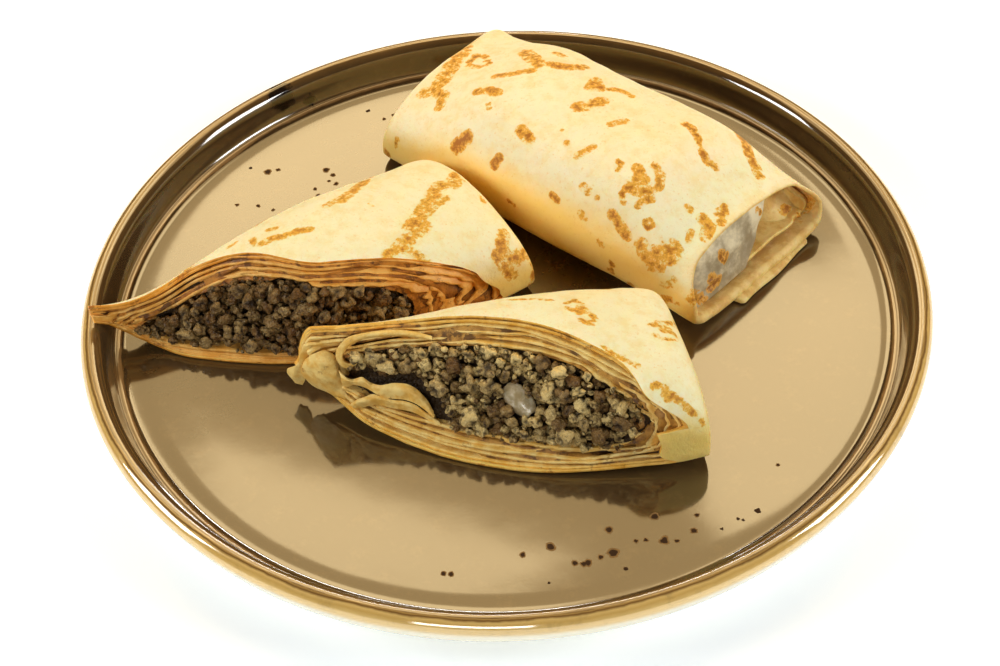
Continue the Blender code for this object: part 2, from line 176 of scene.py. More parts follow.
class Nodes:
    """Short ways to add and join the nodes of one material."""

    def __init__(self, name):
        self.material = bpy.data.materials.new(name)
        self.material.use_nodes = True
        self.tree = self.material.node_tree
        self.shader = self.tree.nodes["Principled BSDF"]
        self.place = self.add("ShaderNodeTexCoord").outputs["Object"]

    def add(self, kind, **settings):
        made = self.tree.nodes.new(kind)
        for key, value in settings.items():
            setattr(made, key, value)
        return made

    def plug(self, socket, value):
        if isinstance(value, (int, float)):
            socket.default_value = value
        elif isinstance(value, tuple):
            socket.default_value = value if len(value) == len(socket.default_value) else (*value, 1)
        else:
            self.tree.links.new(value, socket)

    def number(self, operation, a, b=None, c=None):
        made = self.add("ShaderNodeMath", operation=operation)
        for socket, value in zip(made.inputs, (a, b, c)):
            if value is not None:
                self.plug(socket, value)
        return made.outputs[0]

    def times(self, a, b):
        return self.number("MULTIPLY", a, b)

    def step(self, value, low, high):
        made = self.add("ShaderNodeMapRange", interpolation_type="SMOOTHSTEP")
        self.plug(made.inputs["Value"], value)
        made.inputs["From Min"].default_value = low
        made.inputs["From Max"].default_value = high
        return made.outputs["Result"]

    def less(self, value, low, high):
        return self.number("SUBTRACT", 1.0, self.step(value, low, high))

    def noise(self, scale, detail=3.0, roughness=0.55, place=None, distort=0.0):
        made = self.add("ShaderNodeTexNoise")
        self.plug(made.inputs["Vector"], place or self.place)
        made.inputs["Scale"].default_value = scale
        made.inputs["Detail"].default_value = detail
        made.inputs["Roughness"].default_value = roughness
        made.inputs["Distortion"].default_value = distort
        return made.outputs["Fac"]

    def cells(self, scale, feature="F1", wander=None):
        made = self.add("ShaderNodeTexVoronoi", feature=feature)
        place = self.place
        if wander is not None:
            shift = self.add("ShaderNodeVectorMath", operation="ADD")
            self.plug(shift.inputs[0], place)
            self.plug(shift.inputs[1], self.times(wander, 0.0035))
            place = shift.outputs[0]
        self.plug(made.inputs["Vector"], place)
        made.inputs["Scale"].default_value = scale
        return made

    def mix(self, share, a, b):
        made = self.add("ShaderNodeMix", data_type="RGBA")
        self.plug(made.inputs["Factor"], share)
        self.plug(made.inputs[6], a)
        self.plug(made.inputs[7], b)
        return made.outputs[2]

    def ramp(self, value, stops):
        """Colours along a value: `stops` are (value, colour) in order."""
        low, high = stops[0][0], stops[-1][0]
        made = self.add("ShaderNodeValToRGB")
        self.plug(made.inputs[0], self.number("DIVIDE", self.number("SUBTRACT", value, low), high - low))
        elements = made.color_ramp.elements
        for number, (at, colour) in enumerate(stops):
            share = (at - low) / (high - low)
            if number == 0:
                element = elements[0]
            elif number == len(stops) - 1:
                element = elements[len(elements) - 1]
            else:
                element = elements.new(share)
            element.position = share
            element.color = (*colour, 1)
        return made.outputs[0]

    def attribute(self, name):
        return self.add("ShaderNodeAttribute", attribute_name=name).outputs["Fac"]

    def bump(self, height, strength, distance, under=None):
        made = self.add("ShaderNodeBump")
        self.plug(made.inputs["Height"], height)
        made.inputs["Strength"].default_value = strength
        made.inputs["Distance"].default_value = distance
        if under is not None:
            self.plug(made.inputs["Normal"], under)
        return made.outputs["Normal"]

    def finish(self, colour, roughness, normal=None):
        self.plug(self.shader.inputs["Base Color"], colour)
        self.plug(self.shader.inputs["Roughness"], roughness)
        if normal is not None:
            self.plug(self.shader.inputs["Normal"], normal)
        return self.material


# Iron specks on the floor as places in the picture and widths in millimetres
SPECKS = [
    (523, 555, 1.8), (550, 547, 2.9), (575, 563, 1.9), (588, 563, 2.2), (609, 530, 2.2), (613, 553, 3.2),
    (626, 569, 1.8), (655, 517, 2.7), (664, 541, 2.9), (677, 541, 1.4), (694, 531, 2.2), (697, 515, 1.4),
    (758, 511, 2.6), (722, 557, 2.1), (527, 600, 2.6), (513, 608, 2.2), (593, 597, 1.8), (636, 541, 1.4),
    (443, 574, 1.7), (451, 574, 1.6), (601, 557, 1.7), (646, 540, 1.5), (584, 564, 2.0), (549, 583, 1.0),
    (250, 168, 2.1), (268, 172, 2.6), (278, 170, 1.6), (254, 157, 1.6), (237, 205, 1.4), (213, 197, 1.6),
    (240, 151, 1.4), (256, 150, 1.2), (241, 171, 1.4), (204, 188, 1.6), (258, 206, 1.5), (273, 210, 1.3),
    (326, 170, 2.2), (333, 175, 1.8), (318, 196, 1.8), (315, 189, 1.4), (336, 184, 1.5), (329, 181, 1.3),
    (778, 465, 1.2), (683, 568, 2.0), (615, 599, 2.2), (632, 587, 1.6), (647, 583, 1.4), (628, 591, 1.6),
    (658, 577, 1.2), (703, 582, 1.8), (772, 541, 1.6), (743, 520, 1.4), (738, 519, 1.4), (722, 529, 1.3),
    (368, 111, 2.2), (384, 119, 1.3), (315, 126, 1.7), (404, 102, 1.3), (393, 115, 1.2),
]
# Blots on the far rim: places in the picture, heights and widths in millimetres
RIM_BLOTS = [(281, 97, 17, 10), (310, 101, 12, 5)]


def glaze():
    n = Nodes("taupe_glaze")
    split = n.add("ShaderNodeSeparateXYZ")
    n.plug(split.inputs[0], n.place)
    flat = n.add("ShaderNodeCombineXYZ")
    n.plug(flat.inputs[0], split.outputs[0])
    n.plug(flat.inputs[1], split.outputs[1])
    length = n.add("ShaderNodeVectorMath", operation="LENGTH")
    n.plug(length.inputs[0], flat.outputs[0])
    height = split.outputs[2]
    wander = n.number("MULTIPLY_ADD", n.noise(45, 4, 0.65), 0.0022, -0.0011)
    radius = n.number("ADD", length.outputs["Value"], wander)
    clouds = n.noise(14, 5, 0.6)
    fine = n.noise(160, 4, 0.65)
    floor_colour = n.mix(clouds, (0.068, 0.040, 0.015), (0.115, 0.070, 0.029))
    floor_colour = n.mix(n.times(n.step(fine, 0.35, 0.75), 0.6), floor_colour, (0.095, 0.056, 0.023))
    # the wall is painted darker, as painted shade and painted dark reflection together with glaze that ran
    # thick there, and the lip golden, where it broke thin
    banded = n.ramp(radius, [
        (0.1235, (0.30, 0.18, 0.075)), (0.1246, (0.36, 0.23, 0.105)), (0.1255, (0.18, 0.105, 0.042)),
        (0.1265, (0.11, 0.07, 0.032)), (0.1280, (0.085, 0.051, 0.021)), (0.1293, (0.12, 0.070, 0.025)),
        (0.1304, (0.15, 0.085, 0.030)), (0.1312, (0.34, 0.21, 0.075)), (0.1317, (0.12, 0.062, 0.018)),
        (0.1322, (0.48, 0.31, 0.11)), (0.1327, (0.20, 0.105, 0.030)), (0.1333, (0.74, 0.52, 0.20)),
        (0.1340, (0.66, 0.43, 0.14)), (0.1349, (0.80, 0.57, 0.23)),
    ])
    colour = n.mix(n.step(radius, 0.1233, 0.1238), floor_colour, banded)
    colour = n.mix(n.times(n.step(n.noise(120, 4, 0.7), 0.5, 0.8), 0.35), colour, (0.20, 0.125, 0.05))
    # cream outside and beneath
    low = n.less(n.number("ADD", height, wander), 0.0138, 0.0166)
    outside = n.times(low, n.step(length.outputs["Value"], 0.1300, 0.1315))
    outside = n.number("MAXIMUM", outside, n.less(height, 0.0066, 0.0074))
    colour = n.mix(outside, colour, n.mix(n.noise(90, 4), (0.84, 0.75, 0.50), (0.90, 0.83, 0.62)))
    # two iron blots on the far rim
    for x, y, tall, width in RIM_BLOTS:
        ray = sight(x, y)
        spot = eye + ray * ((tall * MM - eye.z) / ray.z)
        away = n.add("ShaderNodeVectorMath", operation="DISTANCE")
        n.plug(away.inputs[0], n.place)
        away.inputs[1].default_value = spot
        inward = n.number("ADD", away.outputs["Value"], -0.003)
        ragged = n.number("MULTIPLY_ADD", n.noise(420, 3), 0.006, inward)
        colour = n.mix(n.less(ragged, 0.35 * width * MM, 0.6 * width * MM), colour, (0.018, 0.009, 0.004))
    rough = n.number("MULTIPLY_ADD", n.noise(220, 3), 0.08, 0.04)
    rough = n.number("ADD", rough, n.times(outside, 0.15))
    ripple = n.number("ADD", n.noise(26, 2), n.times(fine, 0.08))
    n.shader.inputs["Coat Weight"].default_value = 1.0
    n.shader.inputs["Coat IOR"].default_value = 1.8
    n.shader.inputs["Coat Roughness"].default_value = 0.075
    return n.finish(colour, rough, n.bump(ripple, 0.25, 0.0010))


plate_bm = bmesh.new()
ring = [plate_bm.verts.new((radius * MM, 0, height * MM)) for radius, height in PLATE_PROFILE]
edges = [plate_bm.edges.new(pair) for pair in zip(ring, ring[1:])]
bmesh.ops.spin(plate_bm, geom=ring + edges, cent=(0, 0, 0), axis=(0, 0, 1), angle=2 * math.pi,
               steps=PLATE_STEPS, use_merge=True)
bmesh.ops.remove_doubles(plate_bm, verts=plate_bm.verts, dist=0.00001)
bmesh.ops.recalc_face_normals(plate_bm, faces=plate_bm.faces)
new_piece("stoneware_plate", plate_bm, glaze(), "plate")

SPECK_POINTS = 14
FLOOR_TOP = 8.0 * MM


def iron_specks(bm, grow, lift):
    """Flat, ragged drops of iron on the floor: `grow` times their width, lifted above the glaze."""
    for number, (x, y, width) in enumerate(SPECKS):
        ray = sight(x, y)
        middle = eye + ray * ((FLOOR_TOP - eye.z) / ray.z)
        rim = []
        for step in range(SPECK_POINTS):
            turn = 2 * math.pi * step / SPECK_POINTS
            ragged = 1 + 0.55 * noise.noise(Vector((math.cos(turn), math.sin(turn), 3.7 * number)) * 1.3)
            reach = 0.5 * width * MM * ragged * grow
            spot = middle + Vector((math.cos(turn), math.sin(turn), 0)) * reach
            rim.append(bm.verts.new((spot.x, spot.y, FLOOR_TOP + lift)))
        hub = bm.verts.new((middle.x, middle.y, FLOOR_TOP + lift + 0.03 * MM))
        for first, second in zip(rim, rim[1:] + rim[:1]):
            bm.faces.new((hub, first, second))
    return bm


def matt_iron(name, colour):
    n = Nodes(name)
    n.shader.inputs["Specular IOR Level"].default_value = 0.2
    return n.finish(n.mix(n.noise(900, 2), colour, tuple(1.6 * part for part in colour)), 0.7)


bled_iron = matt_iron("bled_iron", (0.22, 0.135, 0.055))
iron = matt_iron("iron", (0.045, 0.022, 0.010))
new_piece("speck_halos", iron_specks(bmesh.new(), 1.1, 0.03 * MM), bled_iron, "plate")
new_piece("specks", iron_specks(bmesh.new(), 0.72, 0.07 * MM), iron, "plate")

# The whole crepe
# A thin fried pancake folded into a flat parcel, its sides tucked in: shut at the far left end,
# open at the right, where the outer sheet stands over the tucked one. The skin is matt and cream
# with golden, lacy fried spots.
REST = 8.35 * MM
LIFT_START, LIFT = 104 * MM, 17.0
RISE_REACH = 44 * MM
MIDDLE = 0.31
DENT_SCALE, DENT_DEPTH = 34, 1.3 * MM


def power(value, exponent):
    return math.copysign(abs(value) ** exponent, value)


def smooth(low, high, value):
    t = min(max((value - low) / (high - low), 0.0), 1.0)
    return t * t * (3 - 2 * t)


def blend(a, b, share):
    return a + (b - a) * share


def rounded(distance, reach):
    t = 1 - min(max(distance / reach, 0.0), 1.0)
    return max(1 - t ** 2.6, 0.0) ** (1 / 2.6)


class Roll:
    """A flattened roll of crepe: `angle` goes round its section and `p` along its axis."""

    def __init__(self, start, heading, length, width, height, square=0.8, rise=0.0, seed=0):
        self.start = Vector((start[0], start[1], 0))
        self.axis = Vector((math.cos(heading), math.sin(heading), 0))
        self.side = Vector((-self.axis.y, self.axis.x, 0))
        self.length = length
        self.half_width = width / 2
        self.height = height
        self.square = square
        self.rise = rise
        self.seed = seed

    def swell(self, p):
        shut = rounded(p, 8 * MM)
        tall = 0.66 + 0.34 * smooth(0, 48 * MM, p) - 0.36 * smooth(self.length - 36 * MM, self.length, p)
        wide = 0.97 + 0.03 * smooth(0, 48 * MM, p) - 0.04 * smooth(self.length - 48 * MM, self.length, p)
        return wide * (0.90 + 0.10 * shut), tall * (0.35 + 0.65 * shut)

    def section(self, angle, p, inset):
        wide, tall = self.swell(p)
        height = self.height * tall
        middle = MIDDLE * height
        half = max(self.half_width * wide - inset, 0.0)
        if math.sin(angle) >= 0:
            across = half * power(math.cos(angle), self.square)
            up = middle + max(height - middle - inset, 0.0) * power(math.sin(angle), self.square)
        else:
            across = half * power(math.cos(angle), 0.42)
            up = middle + max(middle - inset, 0.0) * power(math.sin(angle), 0.55)
        return across, up

    def roof(self, across, p, inset=0.0):
        wide, tall = self.swell(p)
        height, half = self.height * tall, max(self.half_width * wide - inset, 0.0001)
        along = min(abs(across) / half, 1.0) ** (1 / self.square)
        return MIDDLE * height + (height * (1 - MIDDLE) - inset) * (1 - along ** 2) ** (self.square / 2)

    def place(self, across, up, p):
        point = self.start + self.axis * p + self.side * across
        reach = max(math.hypot(point.x, point.y) - LIFT_START, 0.0)
        raised = LIFT * reach ** 2 + self.rise * max(1 - p / RISE_REACH, 0.0) ** 2
        point.z = REST + up + raised * (1 - 0.3 * up / self.height)
        return point

    def surface(self, angle, p, inset=0.0):
        across, up = self.section(angle, p, inset)
        point = self.place(across, up, p)
        out = self.side * math.cos(angle) + Vector((0, 0, max(math.sin(angle), 0.0)))
        dent = noise.noise(point * DENT_SCALE + Vector((self.seed, 0, 0))) * DENT_DEPTH
        dent += noise.noise(point * 95 + Vector((0, self.seed, 3))) * 0.30 * MM
        dent += noise.noise(point * 240 + Vector((0, 5, self.seed))) * 0.12 * MM
        return point + out * dent


def sheet_grid(around, along, where, closed=True, slits=None):
    """A bmesh of a sheet: `where(u, v)` gives the point for u round and v along, both from 0 to 1, and
    `slits(u, v)` how deep in a slit of the cut it lies, which the cut edges paint nearly black as painted
    shade, or how moist and golden the skin is there."""
    bm = bmesh.new()
    bmesh.ops.create_grid(bm, x_segments=around, y_segments=along, size=0.5)
    depth = bm.verts.layers.float.new("slit")
    for vert in bm.verts:
        u, v = vert.co.x + 0.5, vert.co.y + 0.5
        vert.co = where(u, v)
        vert[depth] = slits(u, v) if slits else 0.0
    if closed:
        bmesh.ops.remove_doubles(bm, verts=bm.verts, dist=0.000002)
    return bm


def face_outward(bm, middle_line):
    """Turns the faces of an open shell away from its middle line."""
    bmesh.ops.recalc_face_normals(bm, faces=bm.faces)
    total = 0.0
    for face in bm.faces:
        total += face.normal.dot(face.calc_center_median() - middle_line(face.calc_center_median()))
    if total < 0:
        bmesh.ops.reverse_faces(bm, faces=bm.faces)


# A stroke's steps in pixels, how much wider it is fried than drawn, and the gap between unseen spots
STROKE_STEP, STROKE_GROWTH, SPOT_GAP = 2.5, 1.15, 0.011


def fry_marks(bm, strokes, unseen, seed):
    """Writes how browned each point is, where the pan left it golden, and how far it faces sideways, which
    the skin uses to paint its sides a deeper golden as painted shade.
    A stroke is a line of places in the picture with a width in mm and a strength; `unseen` spots are
    strewn over the sides that the picture doesn't show."""
    browned = bm.verts.layers.float.new("browned")
    side = bm.verts.layers.float.new("side")
    bm.normal_update()
    for vert in bm.verts:
        # how far the point faces sideways: the skin paints these faces a deeper golden as painted shade
        vert[side] = smooth(0.84, 0.10, vert.normal.z)
    tree = BVHTree.FromBMesh(bm)
    near = kdtree.KDTree(len(bm.verts))
    bm.verts.ensure_lookup_table()
    for vert in bm.verts:
        near.insert(vert.co, vert.index)
    near.balance()
    found = []
    for line, width, strength in strokes:
        for (x0, y0), (x1, y1) in zip(line, line[1:] or line):
            steps = max(int(math.hypot(x1 - x0, y1 - y0) / STROKE_STEP), 1)
            for step in range(steps + 1):
                x, y = blend(x0, x1, step / steps), blend(y0, y1, step / steps)
                hit = tree.ray_cast(eye, sight(x, y))[0]
                if hit is not None:
                    found.append((hit, STROKE_GROWTH * width * MM, strength))
    draw = random.Random(seed)
    spread = []
    for _ in range(unseen * 30):
        vert = bm.verts[draw.randrange(len(bm.verts))]
        ray = (eye - vert.co).normalized()
        hidden = tree.ray_cast(vert.co + ray * 0.001, ray)[0] is not None
        apart = all((vert.co - other).length > SPOT_GAP for other in spread)
        if len(spread) < unseen and hidden and apart:
            spread.append(vert.co.copy())
            found.append((vert.co.copy(), draw.uniform(2.5, 7) * MM, draw.uniform(0.6, 1.1)))
    for place, width, strength in found:
        for co, index, distance in near.find_range(place, width):
            vert = bm.verts[index]
            vert[browned] = max(vert[browned], strength * (1 - (distance / width) ** 2))


def crepe_skin(name):
    """Cream pancake skin: mottled, with fried lace where `browned` says and fine pinholes all over."""
    n = Nodes(name)
    base = n.mix(n.noise(38, 4, 0.6), (0.94, 0.84, 0.56), (0.97, 0.92, 0.72))
    base = n.mix(n.times(n.step(n.noise(190, 4, 0.7), 0.42, 0.72), 0.55), base, (0.90, 0.71, 0.34))
    base = n.mix(n.times(n.step(n.noise(90, 4, 0.62), 0.55, 0.80), 0.35), base, (0.98, 0.95, 0.82))
    # painted shade: the faces that turn sideways are painted a deeper, warmer golden
    base = n.mix(n.times(n.attribute("side"), 0.88), base, (0.98, 0.68, 0.18))
    # the side that lies inside the fold is moist and golden
    inside = n.mix(n.step(n.noise(150, 4, 0.65), 0.40, 0.62), (0.90, 0.66, 0.27), (0.72, 0.44, 0.12))
    base = n.mix(n.times(n.attribute("slit"), 0.9), base, inside)
    dots = n.step(n.noise(900, 3, 0.7), 0.58, 0.70)
    base = n.mix(n.times(dots, 0.42), base, (0.86, 0.55, 0.16))
    # browned lace: the rims of burst bubbles, so a net of thin lines that fills where it fried longest
    browned = n.attribute("browned")
    bubbles = n.cells(420, feature="DISTANCE_TO_EDGE", wander=n.noise(260, 3, 0.6))
    net = n.number("SUBTRACT", 0.9, n.step(bubbles.outputs["Distance"], 0.0, 0.30))
    lace = n.number("MULTIPLY_ADD", n.number("SUBTRACT", n.noise(400, 6, 0.70), 0.5), 3.6, n.times(net, 0.22))
    amount = n.times(n.number("ADD", browned, lace), n.step(browned, 0.08, 0.45))
    spot = n.step(amount, 0.50, 0.80)
    halo = n.times(n.step(amount, 0.10, 0.55), n.times(n.step(browned, 0.1, 0.5), 0.6))
    fried = n.mix(n.step(amount, 0.65, 1.6), (0.89, 0.50, 0.070), (0.45, 0.16, 0.012))
    colour = n.mix(halo, base, (0.95, 0.75, 0.32))
    colour = n.mix(n.times(spot, 0.95), colour, fried)
    pits = n.times(n.step(n.cells(800).outputs["Distance"], 0.05, 0.35), 0.5)
    grain = n.number("ADD", pits, n.noise(1300, 3, 0.6))
    swell = n.number("ADD", n.noise(150, 4, 0.6), n.times(spot, -0.2))
    normal = n.bump(grain, 0.35, 0.0003, n.bump(swell, 0.55, 0.0011))
    rough = n.number("MULTIPLY_ADD", n.noise(300, 3), 0.25, 0.45)
    n.shader.inputs["Subsurface Weight"].default_value = 0.30
    n.shader.inputs["Subsurface Radius"].default_value = (1.0, 0.45, 0.15)
    n.shader.inputs["Subsurface Scale"].default_value = 0.003
    n.shader.inputs["Specular IOR Level"].default_value = 0.3
    return n.finish(colour, rough, normal)


WHOLE = Roll((-0.0196, 0.1007), math.radians(-42.9), 137 * MM, 69 * MM, 38 * MM, seed=3)
END_SKEW = 0.05
SHEET = 1.3 * MM
LIP = 4.0 * MM
# Along the outer sheet: the shut end, then the body, then the turned edge, then the way back inside
SHUT_UNTIL, BODY_UNTIL, EDGE_UNTIL = 0.06, 0.88, 0.94
TUCK_DEPTH = 14 * MM


def skewed(point, p):
    across = (point - WHOLE.start).dot(WHOLE.side)
    share = END_SKEW * (smooth(0.7, 1, p / WHOLE.length) - smooth(0.3, 0, p / WHOLE.length))
    return point + WHOLE.axis * (share * across)


def open_end(angle):
    """How far the outer sheet reaches along the roll: short on top, with a lip underneath."""
    top = smooth(0.1, 0.8, math.sin(angle))
    wave = 0.5 * MM * noise.noise(Vector((2.5 * math.cos(angle), 2.5 * math.sin(angle), 7)))
    return WHOLE.length + 2.5 * MM - 7.0 * MM * top + wave


def whole_skin(u, v):
    angle = 2 * math.pi * u
    end = open_end(angle)
    thick = blend(SHEET, LIP, smooth(0.25, -0.45, math.sin(angle)))
    if v < SHUT_UNTIL:
        share = v / SHUT_UNTIL
        middle = WHOLE.place(0, 0.25 * WHOLE.height * 0.66 * 0.35, -0.8 * MM)
        edge = skewed(WHOLE.surface(angle, 0.5 * MM), 0)
        bulge = WHOLE.axis * (-1.2 * MM * math.sin(math.pi * share) * (0.4 + 0.6 * abs(math.cos(angle))))
        return middle.lerp(edge, share) + bulge
    if v < BODY_UNTIL:
        p = blend(0.5 * MM, end, ((v - SHUT_UNTIL) / (BODY_UNTIL - SHUT_UNTIL)) ** 0.92)
        return skewed(WHOLE.surface(angle, p), p)
    if v < EDGE_UNTIL:
        turn = math.pi * (v - BODY_UNTIL) / (EDGE_UNTIL - BODY_UNTIL)
        p = end + 0.5 * thick * math.sin(turn)
        return skewed(WHOLE.surface(angle, p, 0.5 * thick * (1 - math.cos(turn))), end)
    share = (v - EDGE_UNTIL) / (1 - EDGE_UNTIL)
    return skewed(WHOLE.surface(angle, end - TUCK_DEPTH * share, blend(thick, SHEET, share)), end)


def whole_line(point):
    along = (point - WHOLE.start).dot(WHOLE.axis)
    return WHOLE.start + WHOLE.axis * along + Vector((0, 0, 0.022))


# Each stroke's places in the picture, its width in millimetres and its strength
WHOLE_STROKES = [
    ([(456, 147), (467, 137)], 3.0, 1.35), ([(494, 165), (499, 158)], 2.0, 1.3),
    ([(521, 130), (529, 139)], 2.5, 1.1), ([(552, 195), (557, 200)], 1.6, 1.2),
    ([(509, 201), (514, 205)], 1.2, 1.0), ([(577, 156), (586, 151), (593, 147)], 1.7, 0.95),
    ([(567, 143)], 1.5, 1.0), ([(562, 130)], 1.0, 0.9), ([(578, 107), (590, 105), (602, 101)], 3.0, 0.95),
    ([(590, 88), (596, 80), (600, 88)], 2.5, 0.9), ([(610, 89), (622, 91), (632, 96)], 1.7, 0.9),
    ([(611, 124), (625, 121)], 2.0, 0.75), ([(525, 52), (533, 58), (538, 64)], 3.2, 0.95),
    ([(550, 64), (566, 67), (584, 67)], 2.5, 1.0), ([(556, 53), (563, 56)], 2.2, 0.8),
    ([(470, 62), (476, 55), (486, 57), (488, 64)], 2.0, 0.9), ([(468, 66), (480, 67)], 1.8, 0.8),
    ([(496, 76), (510, 74), (532, 70)], 2.2, 0.95), ([(478, 91), (488, 90), (497, 93)], 2.6, 1.0),
    ([(488, 104), (489, 108)], 1.4, 0.9), ([(471, 38), (456, 60), (441, 82)], 4.2, 0.85),
    ([(441, 82), (430, 92), (423, 93)], 3.2, 0.8), ([(436, 92), (444, 96), (440, 106)], 2.8, 0.95),
    ([(484, 28), (498, 26)], 2.4, 0.9), ([(386, 152), (390, 160)], 2.2, 1.2),
    ([(397, 140), (396, 147)], 1.6, 0.9), ([(617, 161), (622, 164), (618, 170)], 1.2, 0.9),
    ([(655, 166), (661, 176), (659, 186), (650, 191)], 2.0, 0.95),
    ([(650, 191), (638, 191), (628, 188)], 2.2, 0.95),([(632, 182), (641, 175), (637, 168)], 2.4, 0.85),
    ([(645, 180), (640, 186)], 2.2, 0.8), ([(583, 187), (588, 191)], 2.0, 0.8), ([(597, 198)], 1.4, 0.7),
    ([(622, 194), (623, 202)], 1.5, 0.95), ([(638, 205), (646, 200), (652, 199)], 1.6, 1.0),
    ([(581, 214), (584, 219)], 1.7, 0.9),
    ([(645, 222), (650, 220), (653, 225), (648, 228), (645, 224)], 1.2, 0.95),
    ([(612, 214), (620, 226), (627, 236)], 2.2, 1.0), ([(599, 242), (601, 245)], 1.7, 0.95),
    ([(610, 262), (613, 264), (612, 272), (609, 270)], 1.3, 1.1), ([(617, 281), (630, 285)], 3.0, 0.75),
    ([(641, 244), (645, 256), (650, 262)], 2.6, 0.95), ([(655, 252), (664, 256), (672, 259)], 2.8, 0.9),
    ([(650, 266), (660, 268)], 2.4, 0.8), ([(687, 207), (691, 210)], 1.5, 0.9),
    ([(691, 232), (688, 241)], 1.6, 0.65),
    ([(725, 208), (723, 216), (721, 222)], 2.0, 1.0), ([(703, 219), (709, 226), (706, 236)], 2.6, 0.95),
    ([(685, 124), (692, 128), (698, 138)], 1.9, 1.1), ([(698, 142), (701, 150)], 1.5, 0.95),
    ([(703, 153), (707, 161), (716, 167)], 1.8, 1.1), ([(728, 125), (738, 134), (746, 143)], 2.9, 1.05),
    ([(746, 143), (749, 155), (755, 165), (759, 175)], 2.5, 1.1), ([(742, 138), (757, 144)], 1.9, 0.95),
    ([(700, 282), (690, 302)], 2.4, 0.7), ([(673, 281), (664, 285)], 2.5, 0.6),
    ([(803, 205), (808, 200)], 3.6, 0.9), ([(662, 298), (675, 303)], 2.6, 0.7),
    ([(538, 260), (560, 278)], 1.6, 0.5),
]
UNSEEN_SPOTS = 30

WHOLE_MESH = (290, 310)
skin = crepe_skin("fried_crepe")
whole_bm = sheet_grid(*WHOLE_MESH, whole_skin, slits=lambda u, v: smooth(0.86, 0.92, v))
face_outward(whole_bm, whole_line)
fry_marks(whole_bm, WHOLE_STROKES, UNSEEN_SPOTS, WHOLE.seed)
new_piece("whole_crepe_outer_sheet", whole_bm, skin, "whole_crepe")

# The whole crepe's open end
# The tucked end of the pancake: a moist, greyish flap hangs from under the outer sheet down to
# the lip, a second fold closes the hollow behind it, and a thin layer peeps out under the lip.


def facing(bm, direction):
    """Turns the faces of an open sheet towards a direction."""
    bmesh.ops.recalc_face_normals(bm, faces=bm.faces)
    if sum(face.normal.dot(direction) * face.calc_area() for face in bm.faces) < 0:
        bmesh.ops.reverse_faces(bm, faces=bm.faces)
    return bm


def thicken(piece, thickness, offset=-1, rim=0):
    """Gives a sheet its thickness, inward unless `offset` says otherwise, and `rim` as its edge's finish."""
    wall = piece.modifiers.new("thickness", "SOLIDIFY")
    wall.thickness = thickness
    wall.offset = offset
    wall.material_offset_rim = rim


def all_moist(u, v):
    """Every point of the sheet is of the golden side that lies inside the fold."""
    return 1.0


def flap(u, v):
    edge = blend(0, 17.5 * MM, v ** 0.9)
    across = blend(-WHOLE.half_width + 2.0 * MM, edge, u)
    up = blend(4.3 * MM, WHOLE.roof(across, 131 * MM, SHEET) - 0.2 * MM, v)
    bulge = math.sin(math.pi * (0.15 + 0.75 * u)) * math.sin(math.pi * (0.08 + 0.8 * v))
    crease = noise.noise(Vector((across * 110, up * 140, 4))) * 1.3 * MM
    crease += noise.noise(Vector((across * 260, up * 300, 8))) * 0.5 * MM
    p = blend(136.3 * MM, 130.4 * MM, v ** 0.8) + 2.2 * MM * bulge + crease * math.sin(math.pi * v)
    p -= 3.0 * MM * smooth(0.93, 1.02, u) + 2.5 * MM * smooth(0.22, 0.0, u)
    return skewed(WHOLE.place(across, up, p), WHOLE.length)


def inner_fold(u, v):
    angle = 2 * math.pi * u
    across, up = WHOLE.section(angle, WHOLE.length - 6 * MM, SHEET + 0.2 * MM)
    across, up = across * (1 - v), 9 * MM + (up - 9 * MM) * (1 - v)
    hollow = math.exp(-((across - 12 * MM) / (4 * MM)) ** 2 - ((up - 12 * MM) / (5 * MM)) ** 2)
    crease = noise.noise(Vector((across * 110, up * 150, 9)))
    p = WHOLE.length - 11 * MM + 8 * MM * smooth(14 * MM, 24 * MM, across) * smooth(14 * MM, 5 * MM, up)
    return skewed(WHOLE.place(across, up, p + 2.0 * MM * crease - 9 * MM * hollow), WHOLE.length)


def lip_layer(u, v):
    angle = math.radians(blend(-93, 28, u))
    thick = blend(SHEET, LIP, smooth(0.25, -0.45, math.sin(angle)))
    wave = noise.noise(Vector((3 * math.cos(angle), 3 * math.sin(angle), 21)))
    p = open_end(angle) - (4.0 + 1.2 * wave) * MM - 12 * MM * v
    return skewed(WHOLE.surface(angle, p, thick + (0.7 + 0.5 * wave) * MM), p)


def under_layer(u, v):
    across = blend(-14 * MM, 25 * MM, u)
    reach = blend(144.6 * MM, 142.4 * MM, u) - 0.4 * MM * math.sin(9 * u)
    reach = blend(139 * MM, reach, rounded(min(u, 1 - u), 0.07))
    turn = math.pi * v
    p = blend(138 * MM, reach, 0.5 - 0.5 * math.cos(turn))
    plump = math.sin(turn) ** 0.7 * (1 - 0.35 * smooth(0.3, 1.0, u)) * rounded(min(u, 1 - u), 0.05)
    up = 0.25 * MM + 1.7 * MM * plump
    return WHOLE.place(across, up, p) + WHOLE.axis * (END_SKEW * across)


def moist_sheet():
    """Steamed, see-through crepe: grey over the filling, cream elsewhere, with brown fried spots."""
    n = Nodes("moist_crepe")
    base = n.mix(n.step(n.noise(75, 5, 0.65), 0.36, 0.62), (0.40, 0.31, 0.18), (0.86, 0.74, 0.50))
    browned = n.attribute("browned")
    amount = n.number("ADD", browned, n.times(n.number("SUBTRACT", n.noise(430, 6, 0.70), 0.5), 4.4))
    amount = n.times(amount, n.step(browned, 0.02, 0.45))
    fried = n.mix(n.step(amount, 0.6, 1.5), (0.84, 0.45, 0.08), (0.36, 0.13, 0.012))
    colour = n.mix(n.step(amount, 0.30, 0.70), base, fried)
    return n.finish(colour, 0.38, n.bump(n.noise(260, 4), 0.5, 0.0006))


